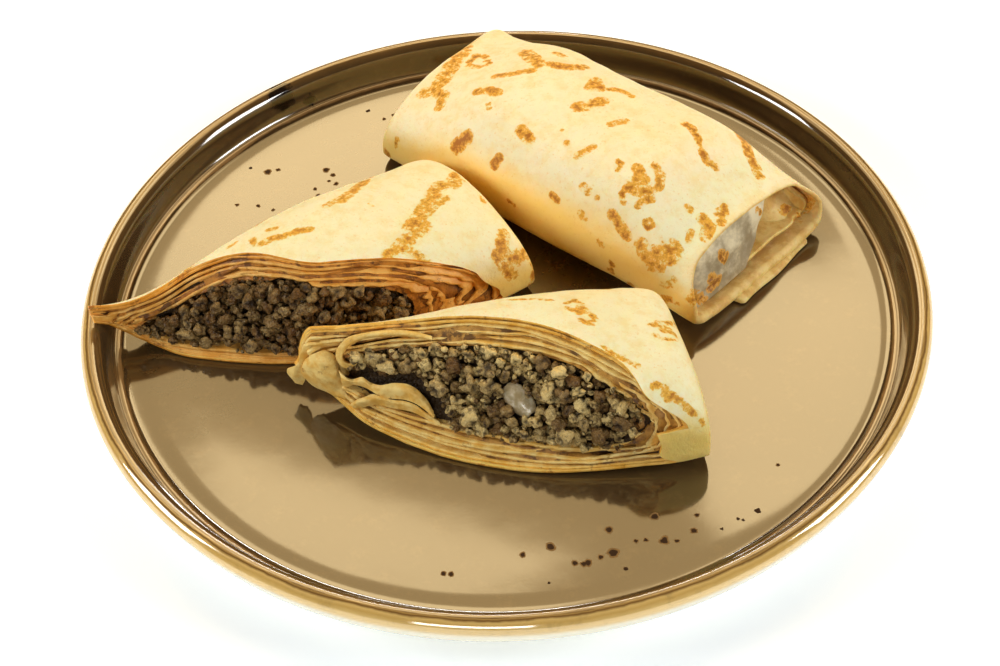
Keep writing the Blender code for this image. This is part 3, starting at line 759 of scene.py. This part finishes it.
FLAP_STROKES = [
    ([(721, 252), (727, 254), (725, 261), (720, 258)], 1.4, 1.1),
    ([(717, 281), (711, 286), (713, 279)], 2.7, 1.3), ([(694, 295), (700, 297)], 2.2, 1.1),
    ([(757, 210), (760, 212)], 1.4, 1.0), ([(763, 196), (768, 192)], 1.6, 1.0),
    ([(702, 300), (712, 302)], 2.0, 0.9),
]
INNER_STROKES = [([(783, 212), (787, 209)], 2.0, 1.2)]
LIP_STROKES = [([(795, 222), (800, 216)], 1.6, 1.0)]
UNDER_STROKES = [([(757, 296), (764, 290)], 2.0, 1.1), ([(790, 245), (796, 240)], 1.6, 1.0)]

moist = moist_sheet()
flap_bm = facing(sheet_grid(150, 110, flap, closed=False), WHOLE.axis)
fry_marks(flap_bm, FLAP_STROKES, 0, 5)
thicken(new_piece("whole_crepe_tucked_flap", flap_bm, moist, "whole_crepe"), 1.1 * MM)

inner_bm = facing(sheet_grid(110, 34, inner_fold, slits=all_moist), WHOLE.axis)
fry_marks(inner_bm, INNER_STROKES, 0, 6)
new_piece("whole_crepe_inner_fold", inner_bm, skin, "whole_crepe")

lip_bm = sheet_grid(90, 20, lip_layer, closed=False, slits=all_moist)
face_outward(lip_bm, whole_line)
fry_marks(lip_bm, LIP_STROKES, 0, 8)
thicken(new_piece("whole_crepe_second_lip", lip_bm, skin, "whole_crepe"), 1.4 * MM)

under_bm = facing(sheet_grid(60, 14, under_layer, closed=False, slits=all_moist), Vector((0, 0, 1)))
fry_marks(under_bm, UNDER_STROKES, 0, 7)
new_piece("whole_crepe_under_layer", under_bm, skin, "whole_crepe")

# The two halves: sheets of crepe
# A second parcel, cut from corner to corner. Its pancake went round the mince several times, so
# the cut shows a stack of thin sheets with gaps between them, painted nearly black in the deeper slits as
# painted shade, and browned, ragged edges.


class Half(Roll):
    """A parcel cut corner to corner: the cut faces the side where `across` is negative."""

    def __init__(self, *args, short, leans, bows, tip_tall, end_tall, wrap, tip_slant=(0, 0), notch=0,
                 under=1.0, **kwargs):
        super().__init__(*args, **kwargs)
        self.under = under
        self.leans = leans
        self.bows = bows
        self.tip_tall = tip_tall
        self.end_tall = end_tall
        self.tip_slant = tip_slant
        self.wrap = wrap
        self.notch = notch
        self.run = Vector((self.length - short, -2 * self.half_width))
        self.normal = Vector((self.run.y, -self.run.x)).normalized()

    def swell(self, p):
        fold = rounded(self.length - p, 12 * MM)
        tall = self.tip_tall
        tall += (1 - self.tip_tall) * math.sin(math.pi / 2 * min(max(p, 0.0) / (0.6 * self.length), 1.0))
        tall -= (1 - self.end_tall) * smooth(0.62 * self.length, self.length, p)
        return 0.91 + 0.09 * fold, tall * (0.55 + 0.45 * fold)

    def past_cut(self, across, up, p):
        rel = Vector((p, across - self.half_width))
        share = min(max(rel.dot(self.run) / self.run.length_squared, 0.0), 1.0)
        hump = 4 * share * (1 - share)
        later = smooth(0.15, 0.55, share)
        bow = blend(self.bows[0], self.bows[1], later) * hump
        lean = blend(self.leans[0], self.leans[1], later) * hump * smooth(0, 0.22, share)
        middle = 0.45 * self.height * self.swell(p)[1]
        return rel.dot(self.normal) - bow + lean * (up - middle)

    def cut(self, angle, inset, proud=0.0):
        high = self.length - 3 * MM
        low = high
        high_side = math.sin(angle)
        first = self.tip_slant[0] * smooth(-0.5, 0.1, high_side) + self.tip_slant[1] * max(high_side, 0.0)
        while low > first and self.past_cut(*self.section(angle, low, inset), low) < proud:
            high = low
            low -= 4 * MM
        if low <= first:
            return first
        for _ in range(12):
            middle = (low + high) / 2
            if self.past_cut(*self.section(angle, middle, inset), middle) < proud:
                high = middle
            else:
                low = middle
        return high

    def locate(self, point):
        rel = point - self.start
        across, p = rel.dot(self.side), rel.dot(self.axis)
        reach = max(math.hypot(point.x, point.y) - LIFT_START, 0.0)
        raised = LIFT * reach ** 2 + self.rise * max(1 - p / RISE_REACH, 0.0) ** 2
        return across, (point.z - REST - raised) / (1 - 0.3 * raised / self.height), p

    def seen_at(self, x, y, proud):
        """The point of the cut face, or of a layer this far proud of it, at a place in the picture."""
        ray = sight(x, y)
        low, high = 0.40, 0.75
        for _ in range(24):
            middle = (low + high) / 2
            if self.past_cut(*self.locate(eye + ray * middle)) > proud:
                low = middle
            else:
                high = middle
        return eye + ray * high

    def face_distance(self, across, up):
        low, high = 0.0, self.length
        for _ in range(16):
            middle = (low + high) / 2
            if self.past_cut(across, up, middle) < 0:
                high = middle
            else:
                low = middle
        return high

    def stacked(self, angle):
        """How much of the stack of sheets there is at an angle: less under the mince on one half."""
        return blend(1, self.under, smooth(0.1, -0.6, math.sin(angle)))

    def outward(self):
        flat = self.axis * self.normal.x + self.side * self.normal.y
        return (flat + Vector((0, 0, self.leans[1]))).normalized()


LEFT = Half((-0.1130, -0.0370), math.radians(33.0), 127 * MM, 65 * MM, 33.5 * MM, square=0.92,
            short=5 * MM, leans=(1.3, 0.35), bows=(0, 13 * MM), tip_tall=0.5, end_tall=0.82, wrap=2 * MM,
            under=0.45, seed=11)
FRONT = Half((-0.0611, -0.0640), math.radians(10.0), 116 * MM, 60 * MM, 35 * MM, square=0.68,
             rise=9 * MM, tip_slant=(3 * MM, 8 * MM), short=5 * MM, leans=(0.82, 0.82),
             bows=(1.5 * MM, 1.5 * MM), tip_tall=0.97, end_tall=0.86, wrap=6 * MM, notch=0.9, seed=23)
# Each sheet from the outside: its place inside the parcel, its thickness, how much it waves, and
# how ragged its edge is, all in millimetres
SHEETS = [(0.0, 1.0, 0.0, 0.25), (0.95, 0.9, 0.2, 0.4), (2.4, 0.8, 0.6, 0.8), (3.7, 1.0, 0.8, 1.2),
          (5.2, 0.7, 1.0, 1.2), (6.2, 1.0, 1.0, 1.5)]
SHEET_DEPTH = 14 * MM


def ragged_cut(half, layer):
    """Where a sheet's edge ends on each line: a little proud of the next sheet or short of it. The
    outer sheets wrap further round the folded end, with a torn notch on one of the halves."""
    known = {}

    def find(angle):
        key = round(angle * 500)
        if key not in known:
            turn = Vector((3.0 * math.cos(angle), 3.0 * math.sin(angle), 11.3 * layer + half.seed))
            inset = sheet_inset(half, angle, layer)
            share = half.cut(angle, inset) / half.length
            proud = noise.noise(turn) + 0.5 * noise.noise(turn * 3.7)
            proud *= SHEETS[layer][3] * MM * smooth(1.0, 0.75, share)
            degrees = math.degrees(angle)
            torn = half.notch * smooth(125, 163, degrees) * smooth(168, 165, degrees)
            turned = half.wrap * max(1 - 0.45 * layer, 0) * smooth(0.78, 0.95, share)
            proud += turned * (1 - torn) * smooth(208, 160, degrees)
            known[key] = half.cut(angle, inset, proud)
        return known[key]
    return find


def sheet_inset(half, angle, layer):
    """How far inside the parcel a sheet lies: waved, so that sheets part and meet along the cut."""
    turn = Vector((2.3 * math.cos(angle), 2.3 * math.sin(angle), 5.7 * layer + half.seed))
    wave = 1.1 * MM * noise.noise(turn) + 0.45 * MM * noise.noise(turn * 3.3)
    return max(SHEETS[layer][0] * MM + wave * SHEETS[layer][2], 0.0) * half.stacked(angle)


def outer_sheet(half):
    cut = ragged_cut(half, 0)

    def where(u, v):
        angle = 2 * math.pi * u
        if v > 0.95:
            edge = half.surface(angle, half.length - 0.5 * MM)
            middle = half.place(0, 0.25 * half.height * half.end_tall, half.length + 0.6 * MM)
            return edge.lerp(middle, (v - 0.95) / 0.05)
        return half.surface(angle, blend(cut(angle), half.length - 0.5 * MM, (v / 0.95) ** 1.25))
    return where


def inner_sheet(half, layer):
    cut = ragged_cut(half, layer)

    def where(u, v):
        angle = 2 * math.pi * u
        start = cut(angle)
        deep = max(min(SHEET_DEPTH, half.length - (1.2 + 0.8 * layer) * MM - start), 1.2 * MM)
        return half.surface(angle, start + deep * v, sheet_inset(half, angle, layer))
    return where


def backing(half):
    """The squeezed layers between the sheets, just behind their edges, with deeper slits here and there,
    painted nearly black as painted shade.
    """
    def lie(u, v):
        angle, inset = 2 * math.pi * u, blend(0.8 * MM, 7.8 * MM, v)
        spot = Vector((2.6 * math.cos(angle), 2.6 * math.sin(angle), inset * 900 + half.seed))
        return angle, inset * half.stacked(angle), spot

    def slits(u, v):
        return smooth(0.02, 0.24, noise.noise(lie(u, v)[2]))

    def where(u, v):
        angle, inset, spot = lie(u, v)
        start = half.cut(angle, inset)
        behind = blend(0.3, 3.2, slits(u, v) * smooth(1.0, 0.75, start / half.length))
        behind += 0.3 * noise.noise(spot * 3.1)
        return half.surface(angle, min(start + 2 * behind * MM, half.length - 0.8 * MM), inset)
    return where, slits


def cut_edges(name, pale, golden, brown, share):
    """The cut edge of a sheet: streaked cream and gold, browned in places, and painted nearly black in slits
    as painted shade.
    """
    n = Nodes(name)
    streak = n.step(n.noise(230, 4, 0.62), 0.36, 0.64)
    colour = n.mix(streak, golden, pale)
    toast = n.step(n.noise(210, 5, 0.68), share, share + 0.10)
    colour = n.mix(n.times(toast, 0.8), colour, brown)
    # painted shade: the slits are painted nearly black
    colour = n.mix(n.attribute("slit"), colour, (0.055, 0.022, 0.006))
    return n.finish(colour, 0.5, n.bump(n.noise(900, 3), 0.5, 0.0005))


def edge_set(name, painted_light_tint):
    """The golden outer edges, the pale ones within, the sheets and what is squeezed between them."""
    kinds = [("golden_edge", (0.92, 0.62, 0.20), (0.80, 0.44, 0.07), (0.42, 0.17, 0.02), 0.56),
             ("pale_edges", (0.93, 0.75, 0.40), (0.82, 0.54, 0.17), (0.40, 0.18, 0.03), 0.60),
             ("inner_sheets", (0.92, 0.71, 0.34), (0.80, 0.50, 0.14), (0.36, 0.15, 0.02), 0.60),
             ("between", (0.60, 0.34, 0.09), (0.34, 0.16, 0.03), (0.10, 0.04, 0.008), 0.50)]
    return [cut_edges(f"{name}_{kind}", *(tuple(part * share for part, share in zip(colour, painted_light_tint))
                                          for colour in colours), at)
            for kind, *colours, at in kinds]


# painted light: each half gets its own copy of the edge colours; the left half's, in shadow, is tinted darker
# and more orange as painted shade, the front half's a little brighter and more golden as painted light
EDGES = {LEFT: edge_set("left", (1, 0.78, 0.46)), FRONT: edge_set("front", (1.05, 1.02, 0.82))}


def half_line(half):
    def line(point):
        along = (point - half.start).dot(half.axis)
        return half.start + half.axis * along + Vector((0, 0, point.z * 0.3 + 0.014))
    return line


LEFT_STROKES = [
    ([(456, 174), (450, 182), (441, 186)], 2.4, 0.85), ([(462, 180), (455, 186)], 2.0, 0.75),
    ([(440, 186), (432, 196), (427, 206)], 3.4, 0.80), ([(446, 198), (436, 203), (426, 214)], 2.4, 0.75),
    ([(427, 206), (418, 218), (410, 228)], 3.2, 0.85), ([(425, 226), (414, 234), (404, 242)], 3.2, 0.80),
    ([(404, 242), (397, 250), (388, 255)], 3.0, 0.80), ([(410, 250), (420, 258), (428, 262)], 2.4, 0.75),
    ([(504, 234), (502, 246), (498, 258)], 3.0, 0.9), ([(506, 256), (512, 262), (520, 256)], 3.2, 0.9),
    ([(505, 266), (512, 276)], 3.2, 0.9), ([(524, 250), (531, 262)], 2.0, 0.8),
    ([(534, 274), (540, 280)], 3.0, 1.2), ([(480, 196), (484, 202)], 1.5, 0.8),
    ([(364, 182), (354, 190), (340, 201)], 2.6, 0.9), ([(372, 176), (362, 186)], 1.6, 0.8),
    ([(334, 201), (326, 206)], 2.0, 0.7), ([(310, 229), (298, 231), (284, 236)], 1.8, 1.0),
    ([(284, 236), (272, 239), (262, 243)], 2.0, 0.95), ([(252, 239), (256, 244)], 1.7, 0.8),
    ([(276, 228), (268, 230)], 1.5, 0.8), ([(235, 243), (228, 247)], 1.5, 0.8),
    ([(160, 281), (174, 275), (190, 268)], 1.8, 0.8), ([(370, 204), (372, 206)], 0.9, 0.8),
]
FRONT_STROKES = [
    ([(566, 303), (574, 300), (581, 304), (576, 311), (567, 308)], 1.2, 0.95),
    ([(578, 313), (586, 311), (594, 317), (590, 324), (581, 320)], 1.3, 0.95),
    ([(582, 306), (587, 310)], 1.2, 0.9), ([(650, 327), (659, 322), (675, 324), (678, 330)], 1.4, 0.95),
    ([(662, 330), (676, 332)], 1.2, 0.8), ([(654, 335), (664, 339), (678, 340)], 1.0, 0.9),
    ([(445, 302), (470, 300), (500, 299)], 0.9, 0.8), ([(505, 300), (530, 299), (551, 300)], 0.9, 0.8),
    ([(590, 344), (598, 348)], 1.3, 0.8), ([(604, 347), (612, 353)], 1.2, 0.75),
    ([(616, 356), (624, 359)], 1.3, 0.8), ([(630, 362), (638, 366)], 1.3, 0.75),
    ([(655, 386), (664, 390), (668, 398)], 2.0, 0.8), ([(668, 394), (680, 400)], 1.8, 0.75),
    ([(683, 405), (690, 410), (697, 415)], 1.6, 0.9), ([(702, 420), (704, 424)], 1.5, 0.8),
]
UNSEEN_ON_HALF = 12

OUTER_MESH, INNER_MESH, BACK_MESH = (240, 190), (210, 12), (180, 28)

for half, node, strokes in ((LEFT, "left_half_wrap", LEFT_STROKES),
                            (FRONT, "front_half_wrap", FRONT_STROKES)):
    golden_edges, pale_edges, inner_skin, between = EDGES[half]
    for layer, (_, thickness, _, _) in enumerate(SHEETS):
        if layer == 0:
            sheet_bm = sheet_grid(*OUTER_MESH, outer_sheet(half))
        else:
            sheet_bm = sheet_grid(*INNER_MESH, inner_sheet(half, layer))
        face_outward(sheet_bm, half_line(half))
        if layer == 0:
            fry_marks(sheet_bm, strokes, UNSEEN_ON_HALF, half.seed)
        finish = [skin if layer == 0 else inner_skin, golden_edges if layer < 2 else pale_edges]
        piece = new_piece(f"{node}_sheet_{layer}", sheet_bm, finish, node)
        thicken(piece, thickness * MM, rim=1)
    depth_at, slits = backing(half)
    back_bm = sheet_grid(*BACK_MESH, depth_at, slits=slits)
    face_outward(back_bm, lambda point: point - half.outward() * MM)
    new_piece(f"{node}_depth", back_bm, between, node)

# The crumpled tip of the front half
# Where the knife went through the folded corner the sheets slumped: a smooth pocket at the tip, two
# scalloped lips over the mince, a hollow between them and the innermost sheet curled round the end.
# Each is a loose piece of crepe, as rows of (x, y) in the picture and millimetres proud of the cut.
FOLDS = {
    "pocket": [
        [(305, 359, 1.0), (302, 367, 1.5), (303, 376, 1.5), (309, 383, 1.0), (318, 389, 0.4)],
        [(313, 354, 2.2), (311, 364, 3.2), (312, 374, 3.3), (317, 384, 2.4), (326, 392, 0.9)],
        [(323, 351, 2.4), (322, 363, 3.8), (323, 375, 4.0), (327, 386, 3.0), (334, 396, 1.0)],
        [(332, 353, 1.6), (333, 363, 2.8), (334, 375, 3.0), (337, 387, 2.2), (342, 398, 0.8)],
        [(338, 358, 0.0), (339, 366, 0.2), (341, 377, 0.3), (345, 389, 0.2), (350, 400, 0.0)],
    ],
    "upper_lip": [
        [(338, 370, 1.6), (346, 377, 2.8), (353, 379, 2.2), (362, 377, 3.4), (370, 382, 2.0), (380, 385, 3.2),
         (393, 383, 3.0), (407, 384, 2.6), (418, 390, 2.0), (427, 400, 1.4), (434, 411, 0.4)],
        [(341, 378, 2.6), (347, 381, 3.4), (354, 382, 3.0), (363, 382, 4.0), (371, 387, 3.0), (381, 390, 4.0),
         (393, 390, 3.8), (406, 391, 3.4), (417, 397, 2.8), (427, 406, 1.9), (434, 416, 0.8)],
        [(343, 388, 1.0), (348, 387, 1.4), (354, 385, 1.6), (363, 387, 2.2), (371, 391, 2.0), (382, 397, 2.2),
         (393, 399, 2.0), (405, 400, 1.8), (416, 404, 1.4), (426, 411, 0.8), (434, 420, 0.0)],
    ],
    "lower_lip": [
        [(349, 405, 0.8), (356, 400, 2.4), (364, 397, 2.8), (373, 394, 2.4), (383, 397, 2.4), (394, 400, 2.2),
         (405, 401, 2.0), (416, 405, 1.6), (427, 413, 1.0), (439, 421, 0.2)],
        [(352, 406, 1.6), (358, 403, 3.2), (366, 401, 3.4), (375, 399, 3.2), (385, 401, 3.0), (395, 404, 2.8),
         (406, 405, 2.6), (417, 409, 2.1), (428, 416, 1.4), (440, 423, 0.4)],
        [(354, 408, 0.4), (361, 408, 0.8), (369, 406, 1.0), (378, 405, 1.0), (387, 407, 0.9), (396, 409, 0.8),
         (407, 411, 0.7), (417, 414, 0.5), (428, 420, 0.2), (441, 427, 0.0)],
    ],
    "curl": [
        [(432, 336, 1.0), (412, 331, 1.6), (390, 330, 1.8), (368, 332, 2.0), (352, 336, 2.2), (341, 343, 2.4),
         (336, 352, 2.4), (337, 361, 2.2), (343, 367, 2.0), (350, 368, 1.6), (357, 364, 1.0)],
        [(432, 340, 1.2), (412, 336, 1.8), (390, 335, 2.0), (369, 337, 2.2), (355, 341, 2.4), (346, 347, 2.6),
         (342, 354, 2.6), (343, 359, 2.4), (346, 362, 2.2), (350, 363, 1.8), (355, 361, 1.2)],
        [(432, 341, -3.0), (412, 338, -3.0), (390, 337, -3.0), (371, 339, -3.0), (358, 343, -3.0),
         (350, 348, -3.0), (346, 354, -3.0), (346, 358, -3.0), (348, 360, -3.0), (351, 361, -3.0),
         (354, 360, -3.0)],
    ],
    "corner": [
        [(305, 363, 0.4), (304, 371, 0.6), (305, 379, 0.5), (303, 385, 0.2)],
        [(295, 366, 1.0), (294, 373, 1.4), (296, 379, 1.2), (298, 384, 0.4)],
        [(287, 369, 0.6), (287, 373, 0.8), (291, 378, 0.7), (295, 383, 0.2)],
    ],
}
FOLD_STEPS = 7
FOLD_THICK = 1.0 * MM


def through(points, share):
    """A smooth curve through the points, at a share of its length."""
    at = share * (len(points) - 1)
    number = min(int(at), len(points) - 2)
    t = at - number
    a, b, c, d = (Vector(points[min(max(number + step, 0), len(points) - 1)]) for step in (-1, 0, 1, 2))
    square, cube = 2 * a - 5 * b + 4 * c - d, 3 * b - a - 3 * c + d
    return 0.5 * (2 * b + (c - a) * t + square * t ** 2 + cube * t ** 3)


def fold_sheet(rows):
    def where(u, v):
        x, y, proud = through([through(row, u) for row in rows], v)
        point = FRONT.seen_at(x, y, proud * MM)
        return point + FRONT.outward() * (noise.noise(point * 330) * 0.5 * MM)
    return where


for name, rows in FOLDS.items():
    fold_bm = sheet_grid(len(rows[0]) * FOLD_STEPS, len(rows) * FOLD_STEPS, fold_sheet(rows), closed=False)
    facing(fold_bm, FRONT.outward())
    fold = new_piece(f"front_half_{name}", fold_bm, [inner_skin, pale_edges], "front_half_wrap")
    thicken(fold, FOLD_THICK, rim=1)

# The mince
# Fried minced meat, loose and moist: a bed inside each half with small knobbly crumbs lying on it. Painted
# highlights make the crumbs tan in spots, and painted shade makes the bed, the creases and the deeper crumbs
# nearly black.
CRUMB_KINDS, CRUMB_LUMPS, CRUMB_TRIES = 9, 20, 40
# The sheets round the mince, in millimetres, and the steps in which their inner wall is followed
STACK, WALL_STEPS = 6.4, 12


def mince_finish():
    n = Nodes("fried_mince")
    shade, crease = n.attribute("shade"), n.attribute("crease")
    # the crumbs' tone comes from the `shade` attribute, which holds painted shade as well as each crumb's own
    # tone
    base = n.mix(shade, (0.22, 0.108, 0.024), (1.0, 0.76, 0.33))
    # painted highlights: pale tan specks where light would glint off the moist crumbs, stronger on the paler
    # crumbs
    painted_highlights = n.times(n.step(n.noise(700, 4, 0.65), 0.48, 0.66), n.number("MULTIPLY_ADD", shade, 0.55, 0.15))
    colour = n.mix(painted_highlights, base, (0.98, 0.76, 0.36))
    colour = n.mix(n.times(n.step(n.noise(480, 4, 0.6), 0.52, 0.64), 0.7), colour, (0.095, 0.042, 0.012))
    # painted shade: the creases between a crumb's lumps, and the bed, are painted nearly black
    colour = n.mix(crease, colour, (0.020, 0.008, 0.003))
    knobs = n.number("ADD", n.noise(900, 4, 0.7), n.times(n.cells(1100).outputs["Distance"], -0.6))
    rough = n.number("MULTIPLY_ADD", n.noise(600, 2), 0.4, 0.16)
    return n.finish(colour, rough, n.bump(knobs, 0.9, 0.0011))


def crumb_shape(subdivisions, seed):
    """One crumb of about unit size, a bunch of little lumps with creases between them."""
    draw = random.Random(seed)
    lumps = [Vector((draw.gauss(0, 1), draw.gauss(0, 1), draw.gauss(0, 1))).normalized()
             for _ in range(CRUMB_LUMPS)]
    bm = bmesh.new()
    crease = bm.verts.layers.float.new("crease")
    bmesh.ops.create_icosphere(bm, subdivisions=subdivisions, radius=1)
    for vert in bm.verts:
        nearest = min(vert.co.angle(lump) for lump in lumps)
        bulge = math.sqrt(max(1 - (nearest / 0.66) ** 2, 0.0))
        long = 1 + 0.50 * noise.noise(vert.co * 1.1 + Vector((seed, 0, 0)))
        grain = 0.10 * noise.noise(vert.co * 5 + Vector((0, seed, 0))) + 0.07 * noise.noise(vert.co * 11)
        # the crease value is painted shade: the mince paints the creases nearly black
        vert[crease] = 0.85 * (1 - bulge)
        vert.co *= (0.64 + 0.42 * bulge + grain) * long
    return bm


def add_crumb(target, layers, shape, place, size, shade, draw):
    axis = Vector((draw.random(), draw.random(), draw.random() + 0.1))
    turn = Matrix.Rotation(draw.uniform(0, 2 * math.pi), 3, axis)
    stretch = Vector((draw.uniform(0.8, 1.3), draw.uniform(0.8, 1.15), draw.uniform(0.75, 1.0)))
    crease = shape.verts.layers.float["crease"]
    made = {}
    for vert in shape.verts:
        stretched = Vector((vert.co.x * stretch.x, vert.co.y * stretch.y, vert.co.z * stretch.z))
        new = target.verts.new(turn @ stretched * size + place)
        new[layers[0]], new[layers[1]] = shade, vert[crease]
        made[vert.index] = new
    for face in shape.faces:
        target.faces.new([made[vert.index] for vert in face.verts])


def mince_bed(half, node, seed, big, small, pale, keep_off=()):
    """The bed and its crumbs: big ones first, each kept off those before it, then small ones in any gap."""
    bed = bmesh.new()
    layers = (bed.verts.layers.float.new("shade"), bed.verts.layers.float.new("crease"))
    bmesh.ops.create_grid(bed, x_segments=90, y_segments=30, size=0.5)
    for vert in bed.verts:
        angle, share = 2 * math.pi * (vert.co.x + 0.5), 1 - (vert.co.y + 0.5)
        across, up = half.section(angle, 0.55 * half.length, 7.4 * MM)
        middle = 0.5 * half.height
        across, up = across * share, middle + (max(up, 6.6 * MM * half.under) - middle) * share
        p = half.face_distance(across, up) + 3.4 * MM
        rough = noise.noise(Vector((across, up, seed * MM)) * 300) * 1.2 * MM
        vert.co = half.place(across, up, min(max(p, 8 * MM), half.length - 12 * MM)) + half.outward() * rough
        # painted shade: the bed, seen only in the gaps between crumbs, is painted nearly black
        vert[layers[0]], vert[layers[1]] = 0.1, 0.85
    bmesh.ops.remove_doubles(bed, verts=bed.verts, dist=0.000002)
    bmesh.ops.recalc_face_normals(bed, faces=bed.faces)
    draw = random.Random(seed)
    shapes = [[crumb_shape(subdivisions, seed * 10 + kind) for kind in range(CRUMB_KINDS)]
              for subdivisions in (3, 2)]
    walls = [math.pi * step / WALL_STEPS for step in range(WALL_STEPS + 1)]
    found = []
    for number in range(big + small):
        large = number < big
        for _ in range(CRUMB_TRIES):
            radius = draw.uniform(1.5, 3.3) * MM if large else draw.uniform(0.6, 1.5) * MM
            edge = STACK * MM + 0.8 * radius
            across = draw.uniform(-1, 1) * (half.half_width - edge)
            up = draw.uniform(STACK * MM * half.under + 0.8 * radius, half.height - edge)
            p = half.face_distance(across, up)
            if not 12 * MM < p < half.length - 10 * MM:
                continue
            if half.past_cut(across, up, p + 0.1 * MM) > 0:
                continue
            roof = [half.section(turn, p, edge) for turn in walls]
            if any(math.cos(turn) * (across - wall) + math.sin(turn) * (up - top) > 0
                   for turn, (wall, top) in zip(walls, roof)):
                continue
            depth = draw.uniform(-1.8, 3.8) * MM if large else draw.uniform(-1.6, 3.2) * MM
            place = half.place(across, up, p) - half.outward() * depth
            apart = 0.72 if large else 0.60
            if any((place - other).length < apart * (radius + size) for other, size in found):
                continue
            if any((place - spot).length < radius + reach for spot, reach in keep_off):
                continue
            found.append((place, radius))
            # a random tone for each crumb, with painted shade: darker the deeper a crumb lies, and scaled by
            # `pale`, which paints the left half's crumbs darker and the front half's brighter
            shade = pale * draw.random() ** 1.1 * (1 - 0.8 * smooth(0, 3.2 * MM, depth))
            add_crumb(bed, layers, draw.choice(shapes[0 if large else 1]), place, radius, shade, draw)
            break
    for shape in shapes[0] + shapes[1]:
        shape.free()
    new_piece(node + "_mince", bed, mince, node)


# The slice of onion's place is set here, because the crumbs keep off it
ONION_LENGTH, ONION_WIDTH, ONION_THICK = 11 * MM, 7 * MM, 0.9 * MM
ONION_ACROSS, ONION_UP = -5 * MM, 17 * MM
ONION_TURN = math.radians(-38)
onion_at = FRONT.place(ONION_ACROSS, ONION_UP, FRONT.face_distance(ONION_ACROSS, ONION_UP))
onion_out = FRONT.outward()
onion_level = Vector((0, 0, 1)).cross(onion_out).normalized()
onion_long = Matrix.Rotation(ONION_TURN, 3, onion_out) @ onion_level
onion_short = onion_out.cross(onion_long)

mince = mince_finish()
# painted shade: a low `pale` paints the left half's mince darker, and a high one paints the front half's
# brighter as painted light
mince_bed(LEFT, "left_half_filling", seed=5, big=240, small=320, pale=0.32)
taken = [(onion_at + onion_long * (ONION_LENGTH * step), 0.30 * ONION_WIDTH) for step in (-0.3, 0, 0.3)]
for name in ("pocket", "upper_lip", "lower_lip"):
    taken += [(FRONT.seen_at(x, y, 0.5 * MM), 2.6 * MM) for row in FOLDS[name] for x, y, _ in row]
mince_bed(FRONT, "front_half_filling", seed=9, big=290, small=420, pale=1.2, keep_off=taken)

# The slice of onion
# A thin petal cut from one layer of a cooked onion: glassy, curled across its width, lying on the
# mince of the front half.


def onion_finish():
    n = Nodes("cooked_onion")
    veins = n.noise(420, 3, 0.5)
    colour = n.mix(n.step(veins, 0.35, 0.7), (0.42, 0.33, 0.19), (0.74, 0.66, 0.50))
    n.shader.inputs["Subsurface Weight"].default_value = 0.3
    n.shader.inputs["Subsurface Radius"].default_value = (0.003, 0.002, 0.001)
    return n.finish(colour, 0.16, n.bump(veins, 0.4, 0.0008))


def petal(u, v):
    x, y = 2 * u - 1, 2 * v - 1
    width = 0.5 * ONION_WIDTH * (0.25 + 0.75 * math.sqrt(max(1 - x * x, 0.0)))
    rise = 0.35 * MM + 1.5 * MM * (1 - y * y) * (1 - 0.5 * x * x)
    return onion_at + onion_long * (0.5 * ONION_LENGTH * x) + onion_short * (width * y) + onion_out * rise


onion_bm = sheet_grid(26, 14, petal, closed=False)
thicken(new_piece("onion_slice", onion_bm, onion_finish(), "onion_piece"), ONION_THICK, offset=0)
